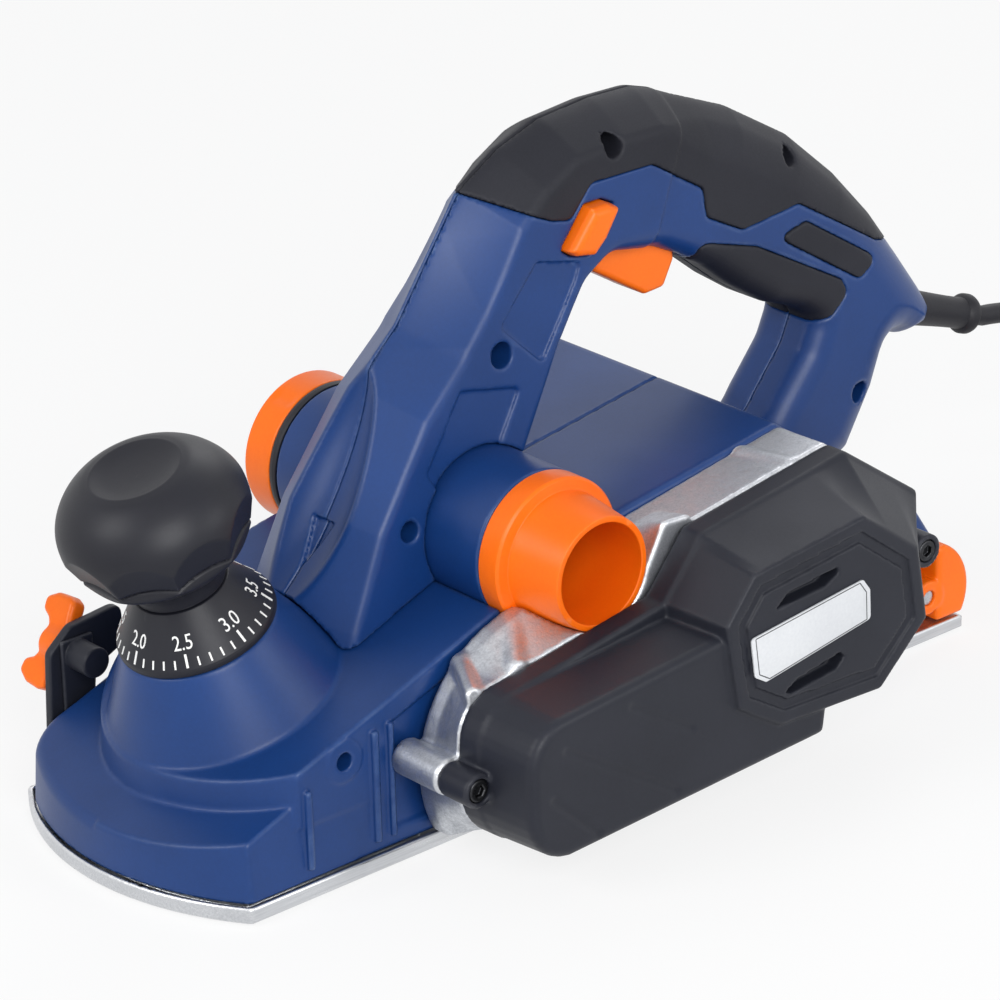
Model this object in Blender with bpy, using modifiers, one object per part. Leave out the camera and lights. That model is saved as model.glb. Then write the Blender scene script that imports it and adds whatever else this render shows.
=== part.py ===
"""Electric hand planer with a 110 mm cutter: +X forward, +Y to the belt side, +Z up.

The origin lies on the underside of the rear sole, on the centre plane. Units are metres.
"""

import math

import bmesh
import bpy
import numpy as np
from mathutils import Matrix, Vector

MM = 0.001
GAP = 0.3 * MM
WALL = 3.0 * MM
FAR = 400.0 * MM

# Soles
SOLE_HALF_WIDTH = 56.0 * MM
SOLE_REAR_X = -142.7 * MM
SOLE_THICKNESS = 4.5 * MM
SHOE_THICKNESS = 6.0 * MM
SHOE_ARC_X = 80.4 * MM
SHOE_ARC_RADIUS = 96.0 * MM
SHOE_LIP = 1.6 * MM
SHOE_FLOOR = 2.4 * MM
SHOE_LAND_CLEARANCE = 1.8 * MM
DEPTH_TRAVEL = 3.5 * MM

# Cutter drum
DRUM_X = 50.0 * MM
CUT_RADIUS = 28.0 * MM
DRUM_Z = CUT_RADIUS
DRUM_RADIUS = 26.0 * MM
DRUM_SIDE_CLEARANCE = 1.0 * MM
DRUM_SHAFT_RADIUS = 6.0 * MM
DRUM_CHAMBER_CLEARANCE = 4.0 * MM
THROAT_CLEARANCE = 6.5 * MM
LIP_CLEARANCE = 2.5 * MM
BLADE_THICKNESS = 1.2 * MM
BLADE_DEPTH = 8.0 * MM
CLAMP_THICKNESS = 5.0 * MM

# Motor
MOTOR_X = -38.0 * MM
MOTOR_Z = 50.0 * MM
STATOR_RADIUS = 33.0 * MM
STATOR_BORE = 21.5 * MM
STATOR_HALF_LENGTH = 24.0 * MM
ROTOR_RADIUS = 20.5 * MM
MOTOR_SHAFT_RADIUS = 5.0 * MM
COMMUTATOR_RADIUS = 13.0 * MM
COMMUTATOR_LENGTH = 12.0 * MM
FAN_RADIUS = 31.0 * MM
FAN_LENGTH = 10.0 * MM
FAN_BLADES = 9
BRUSH_WIDTH = 8.0 * MM
BRUSH_LENGTH = 16.0 * MM
MOTOR_CAVITY_CLEARANCE = 2.0 * MM

# Bearings
BEARING_RADIUS = 13.0 * MM
BEARING_WIDTH = 8.0 * MM

# Belt drive
DRIVE_PULLEY_RADIUS = 13.3 * MM
DRIVEN_PULLEY_RADIUS = 9.5 * MM
PULLEY_WIDTH = 18.0 * MM
BELT_THICKNESS = 2.4 * MM
BELT_WIDTH = 13.0 * MM

# Side plate and belt cover, counted outwards from the left edge of the sole
PLATE_FLANGE = 5.0 * MM
PLATE_DEPTH = 20.7 * MM
PLATE_RADIUS = 43.5 * MM
PLATE_FOOT_Z = 7.0 * MM
COVER_DEPTH = 31.0 * MM
COVER_RIM = 9.0 * MM
COVER_CROWN = 2.0 * MM
COVER_WALL = 2.5 * MM
COVER_EDGE = 3.5 * MM
COVER_STEP = 0.5 * MM
COVER_BOSS_RADIUS = 5.0 * MM
COVER_BOSS_X = 98.0 * MM
COVER_BOSS_Z = 36.0 * MM
REAR_BOSS_X = -95.0 * MM
REAR_BOSS_Z = 52.0 * MM
LOW_BOSS_X = -20.0 * MM
LOW_BOSS_Z = 13.0 * MM
SCREW_RADIUS = 2.2 * MM
SCREW_HEAD_RADIUS = 3.6 * MM
SCREW_HEAD = 3.0 * MM
PLATE_LABEL = 0.4 * MM

# Frame web and right wall
WEB_WIDTH = 7.0 * MM
WEB_TOP_Z = 12.0 * MM
RIGHT_WALL = 7.5 * MM

# Motor housing and rear body
HOUSING_FOOT_Z = 13.0 * MM
HOUSING_FRONT_X = 29.7 * MM
HOUSING_END_CLEARANCE = 2.0 * MM
REAR_BODY_INSET = 3.0 * MM
VENT_COUNT = 5
VENT_PITCH = 11.0 * MM
VENT_WIDTH = 4.5 * MM
VENT_LENGTH = 26.0 * MM

# Chip duct
DUCT_X = 36.0 * MM
DUCT_Z = 82.7 * MM
DUCT_RADIUS = 24.7 * MM
DUCT_WALL = 3.0 * MM
DUCT_LEFT_Y = 48.0 * MM
DUCT_RIGHT_Y = -49.0 * MM
CHIP_SLOT_LENGTH = 84.0 * MM
CHIP_SLOT_WIDTH = 20.0 * MM
SPIGOT = 14.0 * MM
ADAPTER_FLANGE = 8.0 * MM
ADAPTER_LENGTH = 28.0 * MM
ADAPTER_MOUTH_RADIUS = 17.7 * MM
ADAPTER_WALL = 2.2 * MM
PLUG_CAP = 13.0 * MM
SEAL_WIDTH = 3.0 * MM

# Front housing and depth adjuster, built square to the tilted knob axis
TILT = math.radians(19.5)
KNOB_X = 131.1 * MM
KNOB_Z = 71.4 * MM
DOME_DROP = 25.3 * MM
DOME_BACK = 37.6 * MM
DOME_RADIUS = 78.7 * MM
RIM_DROP = 9.2 * MM
HOUSING_SIDE_INSET = 2.0 * MM
HOUSING_LIFT = 0.4 * MM
CONE_BASE_RADIUS = 37.3 * MM
CONE_TOP_RADIUS = 24.6 * MM
CONE_BORE = 16.0 * MM
CONE_ROOF = 6.0 * MM
SPINDLE_RADIUS = 4.5 * MM
SPINDLE_TOP = 30.0 * MM
SPINDLE_FOOT = -52.0 * MM
STEM_RADIUS = 9.0 * MM
STEM_TOP = -26.0 * MM
SPRING_RADIUS = 12.4 * MM
SPRING_WIRE = 0.9 * MM
SPRING_TURNS = 6
SPRING_FOOT = -63.0 * MM
SPRING_TOP = -12.0 * MM
SCALE_RADIUS = 25.2 * MM
SCALE_NECK = 15.0 * MM
SCALE_HEIGHT = 16.5 * MM
KNOB_RADIUS = 30.4 * MM
KNOB_TOP = 62.0 * MM
KNOB_DISH_RADIUS = 16.5 * MM
KNOB_DISH = 1.6 * MM

# Handle, in millimetres on the centre plane
GRIP_HALF_WIDTH = 17.5 * MM
COLUMN_HALF_WIDTH = 26.0 * MM
HANDLE_EDGE = 11.0 * MM
HANDLE_WALL = 3.0 * MM
HANDLE_OUTLINE = [
    (110, 48), (104, 68), (90, 98), (67, 130.5), (50, 146), (24, 183), (8, 193), (-9, 199),
    (-30, 200.8), (-48, 200.3), (-57, 197.5), (-66, 191.5), (-89, 181), (-115.5, 165),
    (-136, 147.5), (-152, 131), (-165, 115), (-175, 101), (-179.5, 94), (-175.5, 83),
    (-165, 81), (-152, 86), (-145, 72), (-134, 48), (-120, 40), (-60, 45), (20, 45),
]
HAND_HOLE = [
    (29.5, 73.4), (18.9, 99.7), (1.1, 131.3), (-12, 149), (-24, 154), (-48, 147.5), (-58, 142.5), (-70, 135.5),
    (-83, 125), (-97, 115.5), (-111, 110), (-118, 105), (-113, 94), (-101, 80), (-96, 73.4),
]
GRIP_EDGE = [
    (60, 230), (60, 203), (25, 182.5), (1.4, 171.5), (-6.4, 169.7), (-15.4, 179.5), (-40.9, 179.2),
    (-64.7, 164.5), (-66.3, 154.3), (-82, 146), (-106.9, 148.5), (-144.4, 125.4), (-166, 117),
    (-200, 125), (-200, 230),
]
LOWER_GRIP_EDGE = [
    (-64, 146), (-88, 138.5), (-126, 117), (-129, 112), (-122, 105), (-108, 100), (-84, 112), (-64, 128),
]
SHELL_SCREWS = [(25.2, 134.5), (-25.2, 188.6), (65.5, 88.5), (-133.0, 75.5)]
GRIP_SCREW = 1
SHELL_SCREW_RADIUS = 1.6 * MM
SHELL_SCREW_HEAD_RADIUS = 2.9 * MM
SHELL_SCREW_SEAT_Y = 6.0 * MM
SHELL_SCREW_LENGTH = 16.0 * MM
SHELL_BOSS_RADIUS = 5.0 * MM

# Switch
TRIGGER_X = -28.0 * MM
TRIGGER_Z = 150.5 * MM
TRIGGER_HALF_WIDTH = 8.0 * MM
TRIGGER_OUTLINE = [
    (4, 4), (2.5, -6), (-19, -19.5), (-27, -19), (-31.5, -10.5), (-31, -4.5), (-23, 3), (-4, 6.5),
]
TRIGGER_SWING = math.radians(7.0)
BUTTON_X = -13.5 * MM
BUTTON_Z = 165.5 * MM
BUTTON_OUTLINE = [(11.5, -4.5), (8, -7), (0.5, -8.5), (-4.5, -4), (-10.5, 5), (-5.5, 7.5), (1.5, 7.5)]
BUTTON_PROUD = 5.0 * MM
BUTTON_STROKE = 4.0 * MM
BUTTON_FACE_Y = 23.5 * MM
SWITCH_SIZE = (30.0 * MM, 16.0 * MM, 12.0 * MM)
SWITCH_PLACE = (-33.0 * MM, 0.0, 166.0 * MM)

# Rebate stop on the right side
STOP_OUTLINE = [(118, 56), (138, 54), (146.5, 47), (148, 16), (131, 16), (129, 37), (118, 42)]
STOP_THICKNESS = 3.2 * MM
STOP_FOOT_DEPTH = 5.0 * MM
STOP_FOOT_HEIGHT = 3.5 * MM
STOP_TRAVEL = 14.0 * MM
WING_X = 137.0 * MM
WING_Z = 45.0 * MM
WING_HUB_RADIUS = 6.0 * MM
WING_HUB_LENGTH = 9.0 * MM
WING_SPAN = 15.0 * MM
WING_THICKNESS = 5.0 * MM
WING_SHANK_RADIUS = 2.6 * MM
WING_LEAN = math.radians(60.0)

# Parking foot
FOOT_X = -127.2 * MM
FOOT_Z = 15.2 * MM
FOOT_RADIUS = 18.6 * MM
FOOT_HUB_RADIUS = 6.0 * MM
FOOT_WIDTH = 36.0 * MM
FOOT_FACE_X = -131.0 * MM
FOOT_TOP_Z = 32.0 * MM
FOOT_BASE_Z = 5.4 * MM
FOOT_PIN_RADIUS = 2.4 * MM
FOOT_PIN_GRIP = 5.0 * MM
TOE_LENGTH = 22.0 * MM
TOE_HALF_THICKNESS = 3.2 * MM
TOE_WIDTH = 20.0 * MM
TOE_ANGLE = math.radians(-30.0)
FOOT_CLEARANCE = 0.8 * MM

# Mains lead
CORD_RADIUS = 3.5 * MM
RELIEF_X = -174.5 * MM
RELIEF_Z = 89.5 * MM
RELIEF_DROP = math.radians(20.0)
RELIEF_ROOT = 12.0 * MM
RELIEF_LENGTH = 29.5 * MM
RELIEF_ROOT_RADIUS = 6.1 * MM
RELIEF_TIP_RADIUS = 5.3 * MM
RELIEF_COLLAR_RADIUS = 6.9 * MM
RELIEF_COLLAR = 4.0 * MM
CORD_ROUTE = [
    (-214.0, 0.0, 76.2), (-226.0, 0.0, 73.6), (-242.0, 0.0, 67.5), (-258.0, 0.0, 55.5), (-271.0, 0.0, 40.0),
    (-282.0, 0.0, 25.0), (-294.0, 0.0, 13.0), (-309.0, 0.0, 6.4),
]
CORD_POINTS = 16
COIL_X = -330.0 * MM
COIL_LIFT = 1.3 * MM
COIL_RADIUS = 52.5 * MM
COIL_STEP = 7.6 * MM
COIL_RISE = 7.6 * MM
COIL_DIP = 1.6 * MM
COIL_TURNS = 3
COIL_POINTS = 24
COIL_TAIL = 12.0 * MM
TIE_WIDTH = 12.0 * MM
TIE_THICKNESS = 0.9 * MM
TIE_ANGLE = math.radians(200.0)
PLUG_LENGTH = 40.0 * MM
PLUG_RADIUS = 12.0 * MM
PLUG_NECK_RADIUS = 5.5 * MM
PLUG_NECK = 14.0 * MM
PIN_RADIUS = 2.4 * MM
PIN_LENGTH = 19.0 * MM
PIN_SPACING = 19.0 * MM

# Places that follow from the sizes above
BODY_LEFT_Y = SOLE_HALF_WIDTH
PLATE_BACK_Y = BODY_LEFT_Y + GAP
PLATE_FACE_Y = PLATE_BACK_Y + PLATE_DEPTH
COVER_BACK_Y = PLATE_FACE_Y + GAP
COVER_FACE_Y = COVER_BACK_Y + COVER_DEPTH
BODY_RIGHT_Y = HOUSING_END_CLEARANCE - SOLE_HALF_WIDTH
RIGHT_WALL_Y = -SOLE_HALF_WIDTH - RIGHT_WALL
DRUM_HALF_LENGTH = SOLE_HALF_WIDTH - DRUM_SIDE_CLEARANCE
PULLEY_Y = COVER_BACK_Y + 3.0 * MM
HOUSING_RIM_Z = SHOE_FLOOR + DEPTH_TRAVEL + HOUSING_LIFT
HOUSING_HOLLOW_X = DRUM_X + CUT_RADIUS + 2.0 * DRUM_CHAMBER_CLEARANCE
AXIS = Vector((math.sin(TILT), 0.0, math.cos(TILT)))
ACROSS = Vector((math.cos(TILT), 0.0, -math.sin(TILT)))
KNOB_POINT = Vector((KNOB_X, 0.0, KNOB_Z))
DOME_POINT = KNOB_POINT - AXIS * DOME_DROP - ACROSS * DOME_BACK
RELIEF_WAY = Vector((-math.cos(RELIEF_DROP), 0.0, -math.sin(RELIEF_DROP)))
RELIEF_POINT = Vector((RELIEF_X, 0.0, RELIEF_Z))
Y_AXIS = Vector((0.0, 1.0, 0.0))


# Scene helpers


def clear_scene():
    for item in list(bpy.data.objects):
        bpy.data.objects.remove(item, do_unlink=True)


def new_collection(name):
    group = bpy.data.collections.new(name)
    bpy.context.scene.collection.children.link(group)
    return group


def new_material(name, colour, roughness, metallic):
    material = bpy.data.materials.new(name)
    material.use_nodes = True
    shader = material.node_tree.nodes["Principled BSDF"]
    shader.inputs["Base Color"].default_value = (*colour, 1.0)
    shader.inputs["Roughness"].default_value = roughness
    shader.inputs["Metallic"].default_value = metallic
    return material


clear_scene()
PARTS = new_collection("electric_hand_planer")
CUTTERS = new_collection("cutters")

BLUE = new_material("blue_plastic", (0.028, 0.085, 0.24), 0.45, 0.0)
BLACK = new_material("black_plastic", (0.03, 0.03, 0.037), 0.5, 0.0)
GRIP = new_material("soft_grip", (0.022, 0.022, 0.026), 0.7, 0.0)
ORANGE = new_material("orange_plastic", (0.95, 0.16, 0.01), 0.4, 0.0)
CAST = new_material("cast_aluminium", (0.62, 0.63, 0.64), 0.45, 1.0)
STEEL = new_material("bright_steel", (0.55, 0.55, 0.56), 0.3, 1.0)
DARK_STEEL = new_material("dark_steel", (0.12, 0.12, 0.13), 0.4, 1.0)
COPPER = new_material("copper", (0.72, 0.33, 0.16), 0.35, 1.0)
CORE = new_material("motor_core", (0.25, 0.24, 0.24), 0.5, 1.0)
RUBBER = new_material("black_rubber", (0.02, 0.02, 0.02), 0.8, 0.0)
SILVER = new_material("plain_plate", (0.7, 0.7, 0.7), 0.4, 0.6)


def place(name, mesh, material, group):
    item = bpy.data.objects.new(name, mesh)
    group.objects.link(item)
    if material:
        mesh.materials.clear()
        mesh.materials.append(material)
    if group is CUTTERS:
        item.hide_render = True
        item.display_type = "WIRE"
    mesh.shade_smooth()
    mesh.set_sharp_from_angle(angle=math.radians(35.0))
    return item


def part(name, mesh, material):
    return place(name, mesh, material, PARTS)


def cutter(name, mesh):
    return place(name, mesh, None, CUTTERS)


def boolean(item, other, operation):
    step = item.modifiers.new(f"{operation.lower()}_{other.name}", "BOOLEAN")
    step.operation = operation
    step.solver = "EXACT"
    step.object = other


def cut(item, *tools):
    for tool in tools:
        boolean(item, tool, "DIFFERENCE")


def join(item, *tools):
    for tool in tools:
        boolean(item, tool, "UNION")


def keep(item, *tools):
    for tool in tools:
        boolean(item, tool, "INTERSECT")


def turn_on_axis(item, point, keep_rotation=None):
    """Moves an object's origin to a point on its joint axis, with its shape where it was."""
    item.data.transform(Matrix.Translation(-Vector(point)))
    item.location = point


# Shape helpers


def tidy(mesh, distance=1e-6):
    form = bmesh.new()
    form.from_mesh(mesh)
    bmesh.ops.remove_doubles(form, verts=form.verts, dist=distance)
    bmesh.ops.recalc_face_normals(form, faces=form.faces)
    form.to_mesh(mesh)
    form.free()
    return mesh


def frozen(item):
    """The evaluated mesh of a helper object, in world space, with the helper removed."""
    bpy.context.view_layer.update()
    graph = bpy.context.evaluated_depsgraph_get()
    mesh = bpy.data.meshes.new_from_object(item.evaluated_get(graph))
    mesh.transform(item.matrix_world)
    bpy.data.objects.remove(item, do_unlink=True)
    return tidy(mesh, 2e-6)


def axis_matrix(point, way):
    turn = Vector(way).to_track_quat("Z", "Y").to_matrix().to_4x4()
    return Matrix.Translation(Vector(point)) @ turn


def signed_area(points):
    total = 0.0
    for (x0, y0), (x1, y1) in zip(points, points[1:] + points[:1]):
        total += x0 * y1 - x1 * y0
    return total / 2.0


def outline_mesh(loops, half, edge=0.0, inset=0.0):
    """A flat outline, filled and thickened evenly about its plane; later loops are holes."""
    curve = bpy.data.curves.new("outline", "CURVE")
    curve.dimensions = "2D"
    curve.fill_mode = "BOTH"
    curve.extrude = half - edge
    curve.bevel_depth = edge
    curve.bevel_resolution = 0 if edge < HANDLE_EDGE / 2.0 else 1
    curve.offset = -(edge + inset)
    for index, loop in enumerate(loops):
        points = [tuple(p) for p in loop]
        if (signed_area(points) > 0) != (index == 0):
            points.reverse()
        spline = curve.splines.new("POLY")
        spline.points.add(len(points) - 1)
        for spot, (x, y) in zip(spline.points, points):
            spot.co = (x, y, 0.0, 1.0)
        spline.use_cyclic_u = True
    item = bpy.data.objects.new("outline", curve)
    bpy.context.scene.collection.objects.link(item)
    return frozen(item)


def side_prism(loops, low_y, high_y, edge=0.0, inset=0.0):
    """An outline drawn in X and Z, thickened from low_y to high_y."""
    mesh = outline_mesh(loops, (high_y - low_y) / 2.0, edge, inset)
    upright = Matrix.Rotation(math.radians(90.0), 4, "X")
    mesh.transform(Matrix.Translation((0.0, (low_y + high_y) / 2.0, 0.0)) @ upright)
    return mesh


def plan_prism(loop, low_z, high_z):
    """An outline drawn in X and Y, thickened from low_z to high_z."""
    mesh = outline_mesh([loop], (high_z - low_z) / 2.0)
    mesh.transform(Matrix.Translation((0.0, 0.0, (low_z + high_z) / 2.0)))
    return mesh


def box(low, high):
    form = bmesh.new()
    bmesh.ops.create_cube(form, size=1.0)
    size = [h - l for l, h in zip(low, high)]
    middle = [(h + l) / 2.0 for l, h in zip(low, high)]
    form.transform(Matrix.Translation(middle) @ Matrix.Diagonal((*size, 1.0)))
    mesh = bpy.data.meshes.new("box")
    form.to_mesh(mesh)
    form.free()
    return mesh


def cone_between(start, end, start_radius, end_radius, sides=32):
    start, end = Vector(start), Vector(end)
    form = bmesh.new()
    bmesh.ops.create_cone(
        form, cap_ends=True, segments=sides, radius1=start_radius, radius2=end_radius,
        depth=(end - start).length,
    )
    form.transform(axis_matrix((start + end) / 2.0, end - start))
    mesh = bpy.data.meshes.new("cone")
    form.to_mesh(mesh)
    form.free()
    return mesh


def rod(start, end, radius, sides=28):
    return cone_between(start, end, radius, radius, sides)


def rod_y(x, z, low_y, high_y, radius, sides=28):
    return rod((x, low_y, z), (x, high_y, z), radius, sides)


def turned(profile, point, way, steps=32, closed=False):
    """A profile of radius and height, top first down its outer side, turned about an axis."""
    mesh = bpy.data.meshes.new("profile")
    spots = [(radius, 0.0, height) for radius, height in profile]
    edges = [(i, i + 1) for i in range(len(spots) - 1)]
    if closed:
        edges.append((len(spots) - 1, 0))
    mesh.from_pydata(spots, edges, [])
    item = bpy.data.objects.new("profile", mesh)
    bpy.context.scene.collection.objects.link(item)
    screw = item.modifiers.new("turn", "SCREW")
    screw.steps = steps
    screw.render_steps = steps
    screw.use_merge_vertices = True
    screw.merge_threshold = 1e-6
    item.matrix_world = axis_matrix(point, way)
    return frozen(item)


def ring_y(x, z, low_y, high_y, inner, outer, steps=32):
    profile = [(inner, high_y), (outer, high_y), (outer, low_y), (inner, low_y)]
    return turned(profile, (x, 0.0, z), Y_AXIS, steps, closed=True)


def tube(points, radius, resolution):
    """A round tube along points, with flat ends."""
    curve = bpy.data.curves.new("tube", "CURVE")
    curve.dimensions = "3D"
    curve.bevel_depth = radius
    curve.bevel_resolution = resolution
    curve.use_fill_caps = True
    spline = curve.splines.new("POLY")
    spline.points.add(len(points) - 1)
    for spot, at in zip(spline.points, points):
        spot.co = (*at, 1.0)
    item = bpy.data.objects.new("tube", curve)
    bpy.context.scene.collection.objects.link(item)
    return frozen(item)


def loft(lower, upper):
    """A closed solid between two outlines with equal counts of points."""
    form = bmesh.new()
    rings = [[form.verts.new(p) for p in ring] for ring in (lower, upper)]
    count = len(lower)
    for i in range(count):
        j = (i + 1) % count
        form.faces.new((rings[0][i], rings[0][j], rings[1][j], rings[1][i]))
    form.faces.new(rings[0][::-1])
    form.faces.new(rings[1])
    bmesh.ops.recalc_face_normals(form, faces=form.faces)
    mesh = bpy.data.meshes.new("loft")
    form.to_mesh(mesh)
    form.free()
    return mesh


def hull(points):
    """The convex solid round a set of points."""
    form = bmesh.new()
    spots = [form.verts.new(p) for p in points]
    bmesh.ops.convex_hull(form, input=spots)
    loose = [v for v in form.verts if not v.link_faces]
    bmesh.ops.delete(form, geom=loose, context="VERTS")
    bmesh.ops.recalc_face_normals(form, faces=form.faces)
    mesh = bpy.data.meshes.new("hull")
    form.to_mesh(mesh)
    form.free()
    return mesh


def arc(x, z, radius, first, last, count):
    """Points on an arc, from angle first to angle last in degrees."""
    turns = [math.radians(first + (last - first) * i / (count - 1)) for i in range(count)]
    return [(x + radius * math.cos(t), z + radius * math.sin(t)) for t in turns]


def metres(points, x=0.0, z=0.0):
    return [(x + a * MM, z + b * MM) for a, b in points]


def on_axis(height):
    return KNOB_POINT + AXIS * height


def wedge_below(point, back_x):
    """Everything below the plane square to the knob axis at a point, forward of back_x."""
    tilt_slope = math.tan(TILT)
    front_x = FAR
    top_back = point.z + (point.x - back_x) * tilt_slope
    top_front = point.z - (front_x - point.x) * tilt_slope
    outline = [(back_x, -FAR), (front_x, -FAR), (front_x, top_front), (back_x, top_back)]
    return side_prism([outline], -FAR, FAR)


# Soles and frame


def shoe_outline(inset, rear_x):
    half = SOLE_HALF_WIDTH - inset
    radius = SHOE_ARC_RADIUS - inset
    reach = math.degrees(math.asin(half / radius))
    front = arc(SHOE_ARC_X, 0.0, radius, -reach, reach, 21)
    return [(rear_x, -half), *front, (rear_x, half)]


def make_front_shoe():
    shoe = part("front_shoe", plan_prism(shoe_outline(0.0, DRUM_X), 0.0, SHOE_THICKNESS), CAST)
    throat = rod_y(DRUM_X, DRUM_Z, -FAR, FAR, CUT_RADIUS + THROAT_CLEARANCE, 48)
    cut(shoe, cutter("throat", throat))
    groove = cutter("skirt_groove", plan_prism(shoe_outline(SHOE_LIP, DRUM_X - MM), SHOE_FLOOR, FAR))
    land_inset = HOUSING_SIDE_INSET + WALL + SHOE_LAND_CLEARANCE
    land = plan_prism(shoe_outline(land_inset, HOUSING_HOLLOW_X + SHOE_LAND_CLEARANCE), -MM, 2.0 * FAR)
    cut(groove, cutter("shoe_land", land))
    cut(shoe, groove)
    foot = on_axis(-(KNOB_Z - SHOE_THICKNESS / 2.0) / AXIS.z)
    join(shoe, cutter("stem", rod(foot, on_axis(STEM_TOP), STEM_RADIUS, 24)))
    bore = rod(on_axis(SPINDLE_FOOT - DEPTH_TRAVEL - GAP), on_axis(0.0), SPINDLE_RADIUS + GAP, 24)
    cut(shoe, cutter("stem_bore", bore))
    turn_on_axis(shoe, KNOB_POINT)


def plate_outline():
    drop = math.degrees(math.asin((DRUM_Z - PLATE_FOOT_Z) / PLATE_RADIUS))
    front = arc(DRUM_X, DRUM_Z, PLATE_RADIUS, -drop, 74.0, 12)
    rear = metres([(46, 37), (-19.5, 47.5), (-53.2, 24.3), (-58.6, -14), (-46, -30)], MOTOR_X, MOTOR_Z)
    return [*front, *rear[:4], (rear[4][0], PLATE_FOOT_Z)]


def lobe_front():
    top = arc(DRUM_X + 29.0 * MM, DRUM_Z + 17.5 * MM, 15.5 * MM, 0.0, 82.0, 6)
    low = arc(DRUM_X + 26.5 * MM, DRUM_Z + 2.0 * MM, 18.0 * MM, -84.0, 0.0, 6)
    return [*low, *top]


def lobe_outline():
    return [*lobe_front(), *metres([(45, 17), (5, -8), (9, -33)], MOTOR_X, MOTOR_Z)]


def cover_outline():
    return [*lobe_front(), *rim_octagon()[:6]]


def rim_octagon():
    return metres(
        [(57, 20.5), (41.5, 38.5), (-20, 47.5), (-52, 24.5), (-53, -12), (-26, -30), (38, -35), (57, -26)],
        MOTOR_X, MOTOR_Z,
    )


def face_octagon():
    return metres(
        [(54, 19), (42.2, 33), (-4.6, 38), (-28, 20), (-32, -5), (-12, -23), (31, -21), (49, -9.7)],
        MOTOR_X, MOTOR_Z,
    )


def lifted(outline, y):
    return [(x, y, z) for x, z in outline]


def cover_solid(name, inset, back_y, face_y, crown):
    """The belt cover's outer form, or with an inset the hollow inside it."""
    rim_y = COVER_BACK_Y + COVER_RIM - inset
    base = cutter(name, side_prism([cover_outline()], back_y, rim_y, 0.0, inset))
    lobe_edge = 0.0 if inset else COVER_EDGE
    lobe = side_prism([lobe_outline()], back_y + MM, face_y, lobe_edge, inset + COVER_STEP)
    middle = Vector((MOTOR_X, 0.0, MOTOR_Z))
    size = 1.0 - (inset + COVER_STEP) / (36.0 * MM)
    shrink = Matrix.Translation(middle) @ Matrix.Diagonal((size, 1.0, size, 1.0)) @ Matrix.Translation(-middle)
    dome = loft(lifted(rim_octagon(), rim_y - MM), lifted(face_octagon(), face_y + crown))
    dome.transform(shrink)
    join(base, cutter(f"{name}_lobe", lobe), cutter(f"{name}_crown", dome))
    return base


def cover_bosses():
    return [(COVER_BOSS_X, COVER_BOSS_Z), (REAR_BOSS_X, REAR_BOSS_Z), (LOW_BOSS_X, LOW_BOSS_Z)]


def make_base_frame():
    flange = side_prism([plate_outline()], PLATE_BACK_Y, PLATE_BACK_Y + PLATE_FLANGE)
    frame = part("base_frame", flange, CAST)
    sole = box((SOLE_REAR_X, -SOLE_HALF_WIDTH, 0.0), (DRUM_X, SOLE_HALF_WIDTH, SOLE_THICKNESS))
    web_y = SOLE_HALF_WIDTH - WEB_WIDTH
    web_back = MOTOR_X - 50.0 * MM
    web_front = HOUSING_FRONT_X - 6.0 * MM
    web = box((web_back, web_y, GAP), (web_front, PLATE_BACK_Y + PLATE_FLANGE - GAP, WEB_TOP_Z))
    right_web = box((web_back, -SOLE_HALF_WIDTH - 2.0 * MM, GAP), (web_front, -web_y, WEB_TOP_Z))
    right_outline = arc(DRUM_X, DRUM_Z, BEARING_RADIUS + 8.0 * MM, -10.0, 190.0, 17)
    foot_z = WEB_TOP_Z - 4.0 * MM
    right_outline += [(web_front - 16.0 * MM, foot_z), (DRUM_X - 14.0 * MM, foot_z)]
    right = side_prism([right_outline], RIGHT_WALL_Y, -SOLE_HALF_WIDTH + 0.5 * MM)
    walls = side_prism([cover_outline()], PLATE_BACK_Y + GAP, PLATE_FACE_Y)
    join(frame, cutter("sole", sole), cutter("web", web), cutter("right_web", right_web))
    join(frame, cutter("right_wall", right), cutter("belt_wall", walls))
    for index, (x, z) in enumerate(cover_bosses()):
        boss = rod_y(x, z, PLATE_BACK_Y + GAP, PLATE_FACE_Y, COVER_BOSS_RADIUS, 20)
        join(frame, cutter(f"plate_boss_{index + 1}", boss))
    for index, (x, z) in enumerate(cover_bosses()):
        hole = rod_y(x, z, PLATE_BACK_Y + 8.0 * MM, FAR, SCREW_RADIUS + GAP, 16)
        cut(frame, cutter(f"plate_screw_hole_{index + 1}", hole))
    lip = rod_y(DRUM_X, DRUM_Z, -SOLE_HALF_WIDTH - FAR, SOLE_HALF_WIDTH, CUT_RADIUS + LIP_CLEARANCE, 48)
    lip_cut = cutter("rear_lip", lip)
    keep_right = box((-FAR, -SOLE_HALF_WIDTH + 0.5 * MM, -FAR), (FAR, FAR, FAR))
    keep(lip_cut, cutter("drum_span", keep_right))
    cut(frame, lip_cut)
    hollow = side_prism([cover_outline()], PLATE_BACK_Y + 2.0 * PLATE_FLANGE, FAR, 0.0, COVER_WALL)
    cut(frame, cutter("belt_hollow", hollow))
    for name, x, z in (("drum", DRUM_X, DRUM_Z), ("motor", MOTOR_X, MOTOR_Z)):
        seat = rod_y(x, z, PLATE_BACK_Y - GAP, FAR, BEARING_RADIUS + GAP, 32)
        cut(frame, cutter(f"{name}_bearing_seat", seat))
    right_seat = rod_y(DRUM_X, DRUM_Z, RIGHT_WALL_Y - GAP, -SOLE_HALF_WIDTH + MM, BEARING_RADIUS + GAP, 32)
    cut(frame, cutter("right_bearing_seat", right_seat))
    saddle = rod_y(DUCT_X, DUCT_Z, 0.0, FAR, DUCT_RADIUS + 2.0 * GAP, 40)
    cut(frame, cutter("toe_slot", toe_slot()), cutter("adapter_saddle", saddle))


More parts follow.
